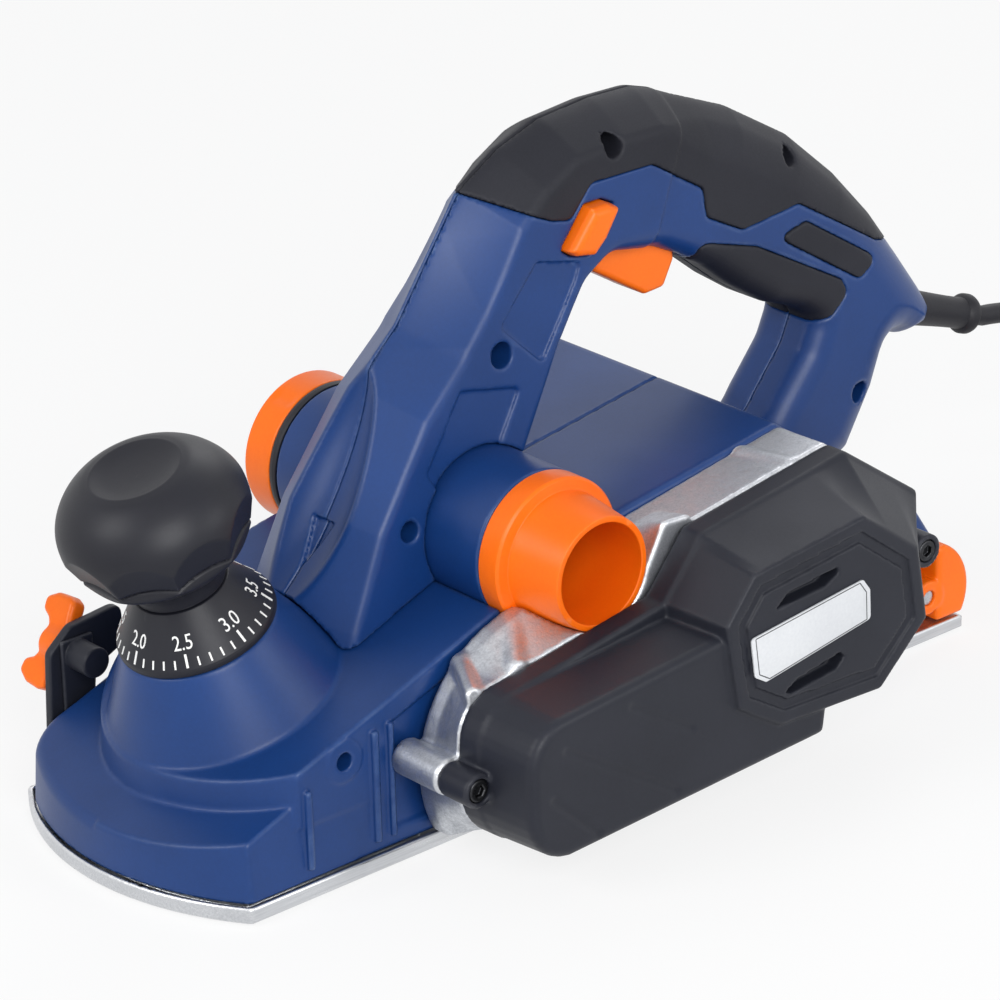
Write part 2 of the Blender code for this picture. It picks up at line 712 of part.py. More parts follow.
def toe_slot():
    middle_y = SOLE_HALF_WIDTH - FOOT_WIDTH / 2.0
    half = TOE_WIDTH / 2.0 + FOOT_CLEARANCE
    front = FOOT_X + TOE_LENGTH + FOOT_CLEARANCE
    back = FOOT_X - TOE_HALF_THICKNESS - FOOT_CLEARANCE
    return box((back, middle_y - half, -FAR), (front, middle_y + half, FOOT_Z))


# Front housing and depth adjuster


def dome_cylinder(low, high, radius):
    return rod(DOME_POINT + AXIS * low, DOME_POINT + AXIS * high, radius, 56)


def make_front_housing():
    rear_x = DRUM_X - 4.0 * MM
    base = plan_prism(shoe_outline(HOUSING_SIDE_INSET, rear_x), HOUSING_RIM_Z, 90.0 * MM)
    housing = part("front_housing", base, BLUE)
    keep(housing, cutter("rim_plane", wedge_below(DOME_POINT - AXIS * RIM_DROP, -FAR)))
    dome = cutter("dome", dome_cylinder(-RIM_DROP - 3.0 * MM, 0.0, DOME_RADIUS))
    side = SOLE_HALF_WIDTH - HOUSING_SIDE_INSET - 2.0 * MM
    keep(dome, cutter("dome_sides", box((rear_x, -side, HOUSING_RIM_Z), (FAR, side, FAR))))
    cone = cone_between(on_axis(-DOME_DROP - MM), on_axis(-GAP), CONE_BASE_RADIUS, CONE_TOP_RADIUS, 40)
    join(housing, dome, cutter("cone", cone))
    hollow_outline = shoe_outline(HOUSING_SIDE_INSET + WALL, HOUSING_HOLLOW_X)
    hollow = cutter("front_hollow", plan_prism(hollow_outline, -FAR, 80.0 * MM))
    keep(hollow, cutter("hollow_plane", wedge_below(DOME_POINT - AXIS * (RIM_DROP + WALL), -FAR)))
    chamber = rod_y(DRUM_X, DRUM_Z, -FAR, FAR, CUT_RADIUS + DRUM_CHAMBER_CLEARANCE, 48)
    well = rod(on_axis(-FAR / 4.0), on_axis(-CONE_ROOF), CONE_BORE, 32)
    hole = rod(on_axis(-CONE_ROOF - MM), on_axis(FAR), SPINDLE_RADIUS + GAP, 24)
    duct = rod_y(DUCT_X, DUCT_Z, -FAR, FAR, DUCT_RADIUS + GAP, 48)
    cut(housing, hollow, cutter("drum_chamber", chamber), cutter("spring_well", well))
    cut(housing, cutter("spindle_hole", hole), cutter("duct_seat", duct))
    seat_y = HOUSING_SIDE_INSET - SOLE_HALF_WIDTH
    boss = rod_y(WING_X, WING_Z, MM - SOLE_HALF_WIDTH, seat_y + 9.0 * MM, 5.0 * MM, 20)
    join(housing, cutter("stop_boss", boss))
    thread = rod_y(WING_X, WING_Z, -FAR, seat_y + 7.0 * MM, WING_SHANK_RADIUS + GAP, 20)
    cut(housing, cutter("stop_thread", thread))


def make_adjuster():
    scale_profile = [
        (SCALE_NECK, SCALE_HEIGHT), (SCALE_NECK + 2.0 * MM, SCALE_HEIGHT - 3.0 * MM),
        (SCALE_RADIUS, 2.0 * MM), (SCALE_RADIUS, 0.0),
        (SPINDLE_RADIUS + GAP, 0.0), (SPINDLE_RADIUS + GAP, SCALE_HEIGHT),
    ]
    scale = part("depth_scale", turned(scale_profile, KNOB_POINT, AXIS, 36, closed=True), BLACK)
    foot = SCALE_HEIGHT + GAP
    bore = SPINDLE_RADIUS + GAP
    knob_profile = [
        (0.0, KNOB_TOP - KNOB_DISH), (KNOB_DISH_RADIUS, KNOB_TOP), (KNOB_RADIUS * 0.7, KNOB_TOP - 3.5 * MM),
        (KNOB_RADIUS * 0.92, KNOB_TOP - 11.0 * MM), (KNOB_RADIUS, KNOB_TOP - 21.0 * MM),
        (KNOB_RADIUS * 0.95, foot + 15.0 * MM), (KNOB_RADIUS * 0.77, foot + 8.0 * MM),
        (SCALE_NECK, foot + 3.0 * MM), (SCALE_NECK - MM, foot), (bore, foot),
        (bore, SPINDLE_TOP + GAP), (0.0, SPINDLE_TOP + GAP),
    ]
    knob = part("depth_knob", turned(knob_profile, KNOB_POINT, AXIS, 36), BLACK)
    spindle = part("depth_spindle", rod(on_axis(SPINDLE_FOOT), on_axis(SPINDLE_TOP), SPINDLE_RADIUS, 24), STEEL)
    for item in (scale, knob, spindle):
        turn_on_axis(item, KNOB_POINT)


def make_spring():
    count = SPRING_TURNS * 8 + 1
    points = []
    turn = axis_matrix(KNOB_POINT, AXIS)
    for i in range(count):
        share = i / (count - 1)
        angle = 2.0 * math.pi * SPRING_TURNS * share
        height = SPRING_FOOT + (SPRING_TOP - SPRING_FOOT) * share
        points.append(turn @ Vector((SPRING_RADIUS * math.cos(angle), SPRING_RADIUS * math.sin(angle), height)))
    spring = part("depth_spring", tube(points, SPRING_WIRE, 1), STEEL)
    turn_on_axis(spring, KNOB_POINT)


# Cutter drum, motor and belt drive


def drum_spot(angle, radius):
    return (DRUM_X + radius * math.cos(angle), DRUM_Z + radius * math.sin(angle))


def bar_outline(angle, inner, outer, low, high):
    """A slim bar along a radius of the drum, from low to high beside that radius."""
    along = Vector((math.cos(angle), math.sin(angle)))
    side = Vector((-along.y, along.x))
    middle = Vector((DRUM_X, DRUM_Z))
    spots = [(inner, low), (outer, low), (outer, high), (inner, high)]
    return [tuple(middle + along * a + side * b) for a, b in spots]


def make_drum():
    drum = part("cutter_drum", rod_y(DRUM_X, DRUM_Z, -DRUM_HALF_LENGTH, DRUM_HALF_LENGTH, DRUM_RADIUS, 40), STEEL)
    shaft_end = PULLEY_Y + PULLEY_WIDTH
    shaft = rod_y(DRUM_X, DRUM_Z, RIGHT_WALL_Y + MM, shaft_end, DRUM_SHAFT_RADIUS, 24)
    join(drum, cutter("drum_shaft", shaft))
    floor = CUT_RADIUS - BLADE_DEPTH
    for index in range(2):
        angle = math.pi * index
        number = index + 1
        low = -BLADE_THICKNESS - GAP
        high = CLAMP_THICKNESS + 2.0 * GAP
        slot = bar_outline(angle, floor - GAP, FAR, low, high)
        cut(drum, cutter(f"blade_slot_{number}", side_prism([slot], -FAR, FAR)))
        blade_y = DRUM_HALF_LENGTH - GAP
        blade = bar_outline(angle, floor, CUT_RADIUS, -BLADE_THICKNESS, 0.0)
        item = part(f"blade_{number}", side_prism([blade], -blade_y, blade_y), DARK_STEEL)
        turn_on_axis(item, (DRUM_X, 0.0, DRUM_Z))
        clamp = bar_outline(angle, floor, DRUM_RADIUS - MM, GAP, CLAMP_THICKNESS + GAP)
        item = part(f"blade_clamp_{number}", side_prism([clamp], -blade_y, blade_y), CORE)
        turn_on_axis(item, (DRUM_X, 0.0, DRUM_Z))
    turn_on_axis(drum, (DRUM_X, 0.0, DRUM_Z))


def make_bearing(name, x, z, low_y, shaft):
    bearing = ring_y(x, z, low_y, low_y + BEARING_WIDTH, shaft + GAP, BEARING_RADIUS, 20)
    part(name, bearing, STEEL)


def make_bearings():
    seat_y = PLATE_BACK_Y + GAP
    make_bearing("drum_bearing_left", DRUM_X, DRUM_Z, seat_y, DRUM_SHAFT_RADIUS)
    make_bearing("drum_bearing_right", DRUM_X, DRUM_Z, RIGHT_WALL_Y - MM, DRUM_SHAFT_RADIUS)
    make_bearing("motor_bearing_left", MOTOR_X, MOTOR_Z, seat_y, MOTOR_SHAFT_RADIUS)
    make_bearing("motor_bearing_right", MOTOR_X, MOTOR_Z, BODY_RIGHT_Y + WALL + GAP, MOTOR_SHAFT_RADIUS)


def make_motor():
    hub = (MOTOR_X, 0.0, MOTOR_Z)
    rotor_half = STATOR_HALF_LENGTH + MM
    rotor = part("rotor", rod_y(MOTOR_X, MOTOR_Z, -rotor_half, rotor_half, ROTOR_RADIUS, 24), CORE)
    shaft = rod_y(MOTOR_X, MOTOR_Z, BODY_RIGHT_Y + WALL + GAP, PULLEY_Y + PULLEY_WIDTH, MOTOR_SHAFT_RADIUS, 20)
    join(rotor, cutter("motor_shaft", shaft))
    bore = MOTOR_SHAFT_RADIUS + GAP
    commutator_y = -rotor_half - 3.0 * MM - COMMUTATOR_LENGTH
    ring = ring_y(MOTOR_X, MOTOR_Z, commutator_y, commutator_y + COMMUTATOR_LENGTH, bore, COMMUTATOR_RADIUS, 24)
    commutator = part("commutator", ring, COPPER)
    fan_y = rotor_half + 6.0 * MM
    hub_radius = bore + 4.0 * MM
    disc_y = fan_y + 2.0 * MM
    fan_profile = [
        (bore, fan_y + FAN_LENGTH), (hub_radius, fan_y + FAN_LENGTH), (hub_radius, disc_y),
        (FAN_RADIUS, disc_y), (FAN_RADIUS, fan_y), (bore, fan_y),
    ]
    fan = part("cooling_fan", turned(fan_profile, hub, Y_AXIS, 20, closed=True), BLACK)
    for index in range(FAN_BLADES):
        vane = box((hub_radius - MM, fan_y + MM, -0.8 * MM), (FAN_RADIUS - MM, fan_y + FAN_LENGTH - MM, 0.8 * MM))
        turn = Matrix.Rotation(2.0 * math.pi * index / FAN_BLADES, 4, "Y")
        vane.transform(Matrix.Translation(hub) @ turn)
        join(fan, cutter(f"fan_vane_{index + 1}", vane))
    for item in (rotor, commutator, fan):
        turn_on_axis(item, hub)
    stator = ring_y(MOTOR_X, MOTOR_Z, -STATOR_HALF_LENGTH, STATOR_HALF_LENGTH, STATOR_BORE, STATOR_RADIUS, 28)
    part("stator", stator, CORE)
    for index, side in enumerate((1.0, -1.0)):
        inner = COMMUTATOR_RADIUS + GAP
        ends = sorted((side * inner, side * (inner + BRUSH_LENGTH)))
        half = BRUSH_WIDTH / 2.0
        middle_y = commutator_y + COMMUTATOR_LENGTH / 2.0
        low = (MOTOR_X + ends[0], middle_y - half, MOTOR_Z - half)
        high = (MOTOR_X + ends[1], middle_y + half, MOTOR_Z + half)
        part(f"brush_holder_{index + 1}", box(low, high), COPPER)


def pulley_profile(radius, bore):
    edge = PULLEY_Y + PULLEY_WIDTH
    lip = 1.4 * MM
    low = radius - 1.4 * MM
    return [
        (bore, edge), (radius + 1.4 * MM, edge), (radius + 1.4 * MM, edge - lip), (low, edge - lip - GAP),
        (low, PULLEY_Y + lip + GAP), (radius + 1.4 * MM, PULLEY_Y + lip), (radius + 1.4 * MM, PULLEY_Y),
        (bore, PULLEY_Y),
    ]


def belt_loop(grow):
    """The outline of a taut belt round both pulleys, grown outwards by an amount."""
    small = Vector((DRUM_X, DRUM_Z))
    large = Vector((MOTOR_X, MOTOR_Z))
    way = small - large
    lean = math.atan2(way.y, way.x)
    wrap = math.acos((DRIVE_PULLEY_RADIUS - DRIVEN_PULLEY_RADIUS) / way.length)
    first, last = math.degrees(lean + wrap), math.degrees(lean - wrap)
    back = arc(large.x, large.y, DRIVE_PULLEY_RADIUS - 1.4 * MM + grow, first, last + 360.0, 17)
    front = arc(small.x, small.y, DRIVEN_PULLEY_RADIUS - 1.4 * MM + grow, last, first, 13)
    return [*back, *front]


def make_belt_drive():
    pairs = (
        ("drive_pulley", MOTOR_X, MOTOR_Z, DRIVE_PULLEY_RADIUS, MOTOR_SHAFT_RADIUS),
        ("driven_pulley", DRUM_X, DRUM_Z, DRIVEN_PULLEY_RADIUS, DRUM_SHAFT_RADIUS),
    )
    for name, x, z, radius, shaft in pairs:
        profile = pulley_profile(radius, shaft + GAP)
        item = part(name, turned(profile, (x, 0.0, z), Y_AXIS, 24, closed=True), STEEL)
        turn_on_axis(item, (x, 0.0, z))
    middle = PULLEY_Y + PULLEY_WIDTH / 2.0
    half = BELT_WIDTH / 2.0
    loops = [belt_loop(GAP + BELT_THICKNESS), belt_loop(GAP)]
    part("drive_belt", side_prism(loops, middle - half, middle + half), RUBBER)


def make_belt_cover():
    cover = cover_solid("belt_cover", 0.0, COVER_BACK_Y, COVER_FACE_Y, COVER_CROWN)
    CUTTERS.objects.unlink(cover)
    PARTS.objects.link(cover)
    cover.hide_render = False
    cover.display_type = "TEXTURED"
    cover.data.materials.append(BLACK)
    back = COVER_BACK_Y
    for index, (x, z) in enumerate(cover_bosses()):
        deep = COVER_RIM if index else COVER_RIM + 4.0 * MM
        boss = rod_y(x, z, back, back + deep, COVER_BOSS_RADIUS, 20)
        join(cover, cutter(f"cover_boss_{index + 1}", boss))
    hollow = cover_solid("cover_hollow", COVER_WALL, back - 2.0 * GAP, COVER_FACE_Y - COVER_WALL, -COVER_WALL)
    cut(cover, hollow)
    for index, (x, z) in enumerate(cover_bosses()):
        deep = COVER_RIM if index else COVER_RIM + 4.0 * MM
        hole = rod_y(x, z, back - MM, FAR, SCREW_RADIUS + GAP, 16)
        recess = rod_y(x, z, back + deep - SCREW_HEAD, FAR, SCREW_HEAD_RADIUS + GAP, 20)
        cut(cover, cutter(f"cover_hole_{index + 1}", hole), cutter(f"cover_recess_{index + 1}", recess))
        head_y = back + deep - SCREW_HEAD + GAP
        screw = rod_y(x, z, head_y, head_y + SCREW_HEAD - MM, SCREW_HEAD_RADIUS, 20)
        item = part(f"cover_screw_{index + 1}", screw, DARK_STEEL)
        shank = rod_y(x, z, PLATE_BACK_Y + 9.0 * MM, head_y + MM, SCREW_RADIUS, 16)
        join(item, cutter(f"cover_shank_{index + 1}", shank))
    label_corners = [(44.6, 12.5), (-3.1, 17.4), (-6.1, 13.2), (-6.4, 3.2), (38.4, -3.6), (43.0, -0.7)]
    label_outline = metres(label_corners, MOTOR_X, MOTOR_Z)
    label_y = COVER_FACE_Y + COVER_CROWN + GAP
    part("rating_plate", side_prism([label_outline], label_y, label_y + PLATE_LABEL), SILVER)


# Clamshell, grips and switch


def half_width(x, z):
    """Half the handle's width: widest at the foot of the column, slim along the grip."""
    rise = min(1.0, max(0.0, (z - 60.0 * MM) / (118.0 * MM)))
    column = COLUMN_HALF_WIDTH + (GRIP_HALF_WIDTH - COLUMN_HALF_WIDTH) * rise
    back = min(1.0, max(0.0, (x + 40.0 * MM) / (40.0 * MM)))
    return GRIP_HALF_WIDTH + (column - GRIP_HALF_WIDTH) * back


def handle_mesh(inset):
    half = GRIP_HALF_WIDTH - inset
    edge = max(HANDLE_EDGE - inset, MM)
    loops = [metres(HANDLE_OUTLINE), metres(HAND_HOLE)]
    mesh = side_prism(loops, -half, half, edge, inset)
    for spot in mesh.vertices:
        full = half_width(spot.co.x, spot.co.z)
        spot.co.y *= (full - inset) / half
    return mesh


def housing_outline():
    rear = metres([(-20, 47.8), (-53.5, 24.5), (-59, -14), (-46, -37)], MOTOR_X, MOTOR_Z)
    top_front = rear[0][1] - (HOUSING_FRONT_X - rear[0][0]) * 0.146
    rear[3] = (rear[3][0], HOUSING_FOOT_Z)
    return [(HOUSING_FRONT_X, HOUSING_FOOT_Z), (HOUSING_FRONT_X, top_front), *rear]


def rear_outline():
    foot = SOLE_THICKNESS + GAP
    front = MOTOR_X - 54.0 * MM
    return [(front, foot), (front, 70.0 * MM), *metres([(-121, 54), (-136, 31), (-140, 16)]), (-140.0 * MM, foot)]


def half_space(side):
    low, high = (GAP / 2.0, FAR) if side > 0 else (-FAR, -GAP / 2.0)
    return box((-FAR, low, -FAR), (FAR, high, FAR))


def shell_tools():
    """Cutters that both clamshell halves and the grips share."""
    tools = {"hollow": cutter("handle_hollow", handle_mesh(HANDLE_WALL))}
    tools["grip"] = cutter("grip_space", side_prism([metres(GRIP_EDGE)], -FAR, FAR))
    tools["grip_cut"] = cutter("grip_cut", side_prism([metres(GRIP_EDGE)], -FAR, FAR, 0.0, -GAP))
    tools["lower"] = cutter("lower_grip_space", side_prism([metres(LOWER_GRIP_EDGE)], -FAR, FAR))
    tools["lower_cut"] = cutter("lower_grip_cut", side_prism([metres(LOWER_GRIP_EDGE)], -FAR, FAR, 0.0, -GAP))
    hole = rod(RELIEF_POINT - RELIEF_WAY * FAR / 8.0, RELIEF_POINT + RELIEF_WAY * FAR, RELIEF_ROOT_RADIUS + GAP, 24)
    tools["relief"] = cutter("relief_hole", hole)
    nose = RELIEF_POINT + RELIEF_WAY * (FAR / 8.0)
    tools["nose"] = cutter("nose_end", rod(RELIEF_POINT, nose, 30.0 * MM, 24))
    outline = metres(TRIGGER_OUTLINE, TRIGGER_X, TRIGGER_Z)
    half = TRIGGER_HALF_WIDTH + 2.0 * GAP
    grown = side_prism([outline], -half, half, 0.0, -1.6 * MM)
    hub = Vector((TRIGGER_X, 0.0, TRIGGER_Z))
    turn = Matrix.Translation(hub) @ Matrix.Rotation(TRIGGER_SWING, 4, "Y") @ Matrix.Translation(-hub)
    rest = [spot.co.copy() for spot in grown.vertices]
    tools["trigger"] = cutter("trigger_window", hull([*rest, *[turn @ spot for spot in rest]]))
    button = metres(BUTTON_OUTLINE, BUTTON_X, BUTTON_Z)
    deep = BUTTON_FACE_Y - BUTTON_PROUD - 14.0 * MM
    tools["button"] = cutter("button_window", side_prism([button], deep, FAR, 0.0, -1.5 * GAP))
    return tools


def make_clamshell(tools):
    """Both halves of the body in one piece, before they are parted on the centre plane."""
    body = cutter("clamshell", handle_mesh(0.0))
    rear_side = SOLE_HALF_WIDTH - REAR_BODY_INSET
    motor = cutter("motor_housing", side_prism([housing_outline()], BODY_RIGHT_Y, BODY_LEFT_Y))
    rear = cutter("rear_body", side_prism([rear_outline()], -rear_side, rear_side))
    join(body, motor, rear)
    cut(body, tools["hollow"], tools["grip_cut"], tools["lower_cut"])
    for index, (x, z) in enumerate(metres(SHELL_SCREWS)):
        if index != GRIP_SCREW:
            join(body, shell_boss(f"shell_boss_{index + 1}", x, z))
    cut(body, cutter("column_foot", wedge_below(DOME_POINT + AXIS * GAP, HOUSING_FRONT_X)))
    reach = 2.0 * GAP
    low, high = on_axis(-DOME_DROP - 2.0 * MM), on_axis(0.0)
    cone = cone_between(low, high, CONE_BASE_RADIUS + reach, CONE_TOP_RADIUS + reach, 36)
    cut(body, cutter("cone_clearance", cone))
    cavity = rod_y(
        MOTOR_X, MOTOR_Z, BODY_RIGHT_Y + WALL, BODY_LEFT_Y - WALL, STATOR_RADIUS + MOTOR_CAVITY_CLEARANCE, 36,
    )
    chamber = rod_y(DRUM_X, DRUM_Z, -FAR, FAR, CUT_RADIUS + DRUM_CHAMBER_CLEARANCE, 36)
    duct = rod_y(DUCT_X, DUCT_Z, -FAR, FAR, DUCT_RADIUS + GAP, 40)
    cut(body, cutter("motor_cavity", cavity), cutter("shell_chamber", chamber), cutter("shell_duct", duct))
    cut(body, tools["relief"], tools["nose"], tools["trigger"])
    return body


def make_shell(name, side, tools, body):
    shell = part(name, half_space(side), BLUE)
    keep(shell, body)
    if side > 0:
        outlet = rod_y(MOTOR_X, MOTOR_Z, SOLE_HALF_WIDTH / 2.0, FAR, BEARING_RADIUS + 2.0 * MM, 24)
        cut(shell, cutter("shaft_outlet", outlet), tools["button"])
        back_y = SOLE_HALF_WIDTH - FOOT_WIDTH - GAP
        pocket = rod_y(FOOT_X, FOOT_Z, back_y, FAR, FOOT_RADIUS + FOOT_CLEARANCE, 36)
        pin = rod_y(FOOT_X, FOOT_Z, back_y - FOOT_PIN_GRIP, FAR, FOOT_PIN_RADIUS + GAP, 12)
        cut(shell, cutter("foot_pocket", pocket), cutter("toe_pocket", toe_slot()), cutter("foot_pin_hole", pin))
    else:
        half = VENT_LENGTH / 2.0
        wide = VENT_WIDTH / 2.0
        deep = BODY_RIGHT_Y + 2.0 * WALL
        for index in range(VENT_COUNT):
            x = MOTOR_X + (index - (VENT_COUNT - 1) / 2.0) * VENT_PITCH
            vent = box((x - wide, -FAR, MOTOR_Z - half), (x + wide, deep, MOTOR_Z + half))
            cut(shell, cutter(f"motor_vent_{index + 1}", vent))
    screw_holes(name, shell, side)


def shell_boss(name, x, z):
    """A screw boss across the inside of the handle, from one side wall to the other."""
    deep = half_width(x, z) - HANDLE_WALL / 2.0
    return cutter(name, rod_y(x, z, -deep, deep, SHELL_BOSS_RADIUS, 16))


def screw_holes(name, item, side):
    for index, (x, z) in enumerate(metres(SHELL_SCREWS)):
        hole = rod_y(x, z, -SHELL_SCREW_LENGTH, FAR, SHELL_SCREW_RADIUS + GAP, 12)
        cut(item, cutter(f"{name}_screw_hole_{index + 1}", hole))
        if side > 0:
            seat = rod_y(x, z, SHELL_SCREW_SEAT_Y, FAR, SHELL_SCREW_HEAD_RADIUS + GAP, 14)
            cut(item, cutter(f"{name}_screw_seat_{index + 1}", seat))


def make_grip(name, side, tools):
    grip = part(name, handle_mesh(0.0), GRIP)
    keep(grip, tools["grip"])
    cut(grip, tools["hollow"])
    x, z = metres(SHELL_SCREWS)[GRIP_SCREW]
    join(grip, shell_boss(f"{name}_boss", x, z))
    keep(grip, cutter(f"{name}_side", half_space(side)))
    if side > 0:
        cut(grip, tools["button"])
    screw_holes(name, grip, side)


def make_lower_grip(name, side, tools):
    grip = part(name, handle_mesh(0.0), GRIP)
    keep(grip, tools["lower"])
    cut(grip, tools["hollow"])
    keep(grip, cutter(f"{name}_side", half_space(side)))


def make_shell_screws():
    for index, (x, z) in enumerate(metres(SHELL_SCREWS)):
        seat = SHELL_SCREW_SEAT_Y + GAP
        screw = part(f"shell_screw_{index + 1}", rod_y(x, z, seat, seat + 2.5 * MM, SHELL_SCREW_HEAD_RADIUS, 12), DARK_STEEL)
        shank = rod_y(x, z, seat - SHELL_SCREW_LENGTH, seat + MM, SHELL_SCREW_RADIUS, 8)
        join(screw, cutter(f"shell_shank_{index + 1}", shank))


def make_switch():
    low = [c - s / 2.0 for c, s in zip(SWITCH_PLACE, SWITCH_SIZE)]
    high = [c + s / 2.0 for c, s in zip(SWITCH_PLACE, SWITCH_SIZE)]
    part("switch_body", box(low, high), BLACK)
    outline = metres(TRIGGER_OUTLINE, TRIGGER_X, TRIGGER_Z)
    trigger = part("trigger", side_prism([outline], -TRIGGER_HALF_WIDTH, TRIGGER_HALF_WIDTH, 1.2 * MM), ORANGE)
    turn_on_axis(trigger, (TRIGGER_X, 0.0, TRIGGER_Z))
    button = metres(BUTTON_OUTLINE, BUTTON_X, BUTTON_Z)
    root = BUTTON_FACE_Y - BUTTON_PROUD - 5.0 * MM
    item = part("lock_button", side_prism([button], root, BUTTON_FACE_Y, 0.8 * MM), ORANGE)
    turn_on_axis(item, (BUTTON_X, BUTTON_FACE_Y, BUTTON_Z))


# Chip duct, adapter and plug


def make_duct():
    point = (DUCT_X, 0.0, DUCT_Z)
    bore = DUCT_RADIUS - DUCT_WALL
    duct = part("chip_duct", ring_y(DUCT_X, DUCT_Z, DUCT_RIGHT_Y, DUCT_LEFT_Y, bore, DUCT_RADIUS, 48), BLUE)
    half = CHIP_SLOT_LENGTH / 2.0
    slot = box(
        (DUCT_X - CHIP_SLOT_WIDTH / 2.0, -half, DUCT_Z - 2.0 * DUCT_RADIUS),
        (DUCT_X + CHIP_SLOT_WIDTH / 2.0, half, DUCT_Z - DUCT_RADIUS / 2.0),
    )
    cut(duct, cutter("chip_slot", slot))
    spigot = bore - GAP
    flange_y = DUCT_LEFT_Y + GAP
    step_y = flange_y + ADAPTER_FLANGE
    mouth_y = flange_y + ADAPTER_LENGTH
    throat = ADAPTER_MOUTH_RADIUS + 3.0 * MM
    profile = [
        (ADAPTER_MOUTH_RADIUS - ADAPTER_WALL, mouth_y), (ADAPTER_MOUTH_RADIUS, mouth_y), (throat, step_y + MM),
        (DUCT_RADIUS - MM, step_y), (DUCT_RADIUS, step_y - MM), (DUCT_RADIUS, flange_y), (spigot, flange_y),
        (spigot, flange_y - SPIGOT), (spigot - ADAPTER_WALL, flange_y - SPIGOT), (throat - ADAPTER_WALL, step_y),
    ]
    adapter = part("dust_adapter", turned(profile, point, Y_AXIS, 32, closed=True), ORANGE)
    turn_on_axis(adapter, (DUCT_X, flange_y, DUCT_Z))
    seal_y = DUCT_RIGHT_Y - GAP - SEAL_WIDTH
    seal = ring_y(DUCT_X, DUCT_Z, seal_y, seal_y + SEAL_WIDTH, bore, DUCT_RADIUS, 24)
    seal = part("plug_seal", seal, RUBBER)
    cap_y = seal_y - GAP
    end_y = cap_y - PLUG_CAP
    profile = [
        (0.0, DUCT_RIGHT_Y + SPIGOT), (spigot - ADAPTER_WALL, DUCT_RIGHT_Y + SPIGOT), (spigot, DUCT_RIGHT_Y + SPIGOT - MM),
        (spigot, cap_y), (DUCT_RADIUS, cap_y), (DUCT_RADIUS, end_y + MM), (DUCT_RADIUS - 1.5 * MM, end_y), (0.0, end_y),
    ]
    plug = part("duct_plug", turned(profile, point, Y_AXIS, 32), ORANGE)
    for item in (plug, seal):
        turn_on_axis(item, (DUCT_X, cap_y, DUCT_Z))


# Rebate stop and parking foot


def make_stop():
    back = -SOLE_HALF_WIDTH - GAP
    outline = metres(STOP_OUTLINE)
    stop = part("stop_bracket", side_prism([outline], back - STOP_THICKNESS, back), BLACK)
    foot_x = [x for x, z in outline if z < outline[0][1] / 2.0]
    foot_z = min(z for x, z in outline)
    low = (min(foot_x), back - STOP_FOOT_DEPTH, foot_z)
    high = (max(foot_x) - GAP, back - GAP, foot_z + STOP_FOOT_HEIGHT)
    join(stop, cutter("stop_foot", box(low, high)))
    wing_z = WING_Z
    half = WING_SHANK_RADIUS + 2.0 * GAP
    slot = box(
        (WING_X - half, -FAR, wing_z - STOP_TRAVEL - half), (WING_X + half, FAR, wing_z + half),
    )
    cut(stop, cutter("stop_slot", slot))
    face = back - STOP_THICKNESS - GAP
    hub = part("wing_screw", rod_y(WING_X, wing_z, face - WING_HUB_LENGTH, face, WING_HUB_RADIUS, 24), ORANGE)
    shank = rod_y(WING_X, wing_z, face - MM, HOUSING_SIDE_INSET - SOLE_HALF_WIDTH + 6.0 * MM, WING_SHANK_RADIUS, 16)
    wing = box((-WING_SPAN, -WING_HUB_LENGTH - 7.0 * MM, -WING_THICKNESS / 2.0), (WING_SPAN, -2.0 * MM, WING_THICKNESS / 2.0))
    wing.transform(Matrix.Translation((WING_X, face, wing_z)) @ Matrix.Rotation(WING_LEAN, 4, "Y"))
    join(hub, cutter("wing_shank", shank), cutter("wings", wing))
    turn_on_axis(hub, (WING_X, face, wing_z))


def make_foot():
    face_y = SOLE_HALF_WIDTH
    back_y = SOLE_HALF_WIDTH - FOOT_WIDTH
    disc = rod_y(FOOT_X, FOOT_Z, back_y, face_y, FOOT_RADIUS, 48)
    foot = part("parking_foot", disc, ORANGE)
    block = box((-FAR, -FAR, FOOT_BASE_Z), (FOOT_FACE_X, FAR, FOOT_TOP_Z))
    keep(foot, cutter("foot_block", block))
    hub = rod_y(FOOT_X, FOOT_Z, back_y, face_y, FOOT_HUB_RADIUS, 28)
    middle_y = (face_y + back_y) / 2.0
    toe = box((0.0, -TOE_WIDTH / 2.0, -TOE_HALF_THICKNESS), (TOE_LENGTH, TOE_WIDTH / 2.0, TOE_HALF_THICKNESS))
    toe.transform(Matrix.Translation((FOOT_X, middle_y, FOOT_Z)) @ Matrix.Rotation(-TOE_ANGLE, 4, "Y"))
    join(foot, cutter("foot_hub", hub), cutter("foot_toe", toe))
    cut(foot, cutter("foot_bore", rod_y(FOOT_X, FOOT_Z, -FAR, FAR, FOOT_PIN_RADIUS + GAP, 16)))
    turn_on_axis(foot, (FOOT_X, 0.0, FOOT_Z))
    pin = rod_y(FOOT_X, FOOT_Z, back_y - FOOT_PIN_GRIP, face_y - MM, FOOT_PIN_RADIUS, 16)
    part("foot_pin", pin, STEEL)


# Mains lead


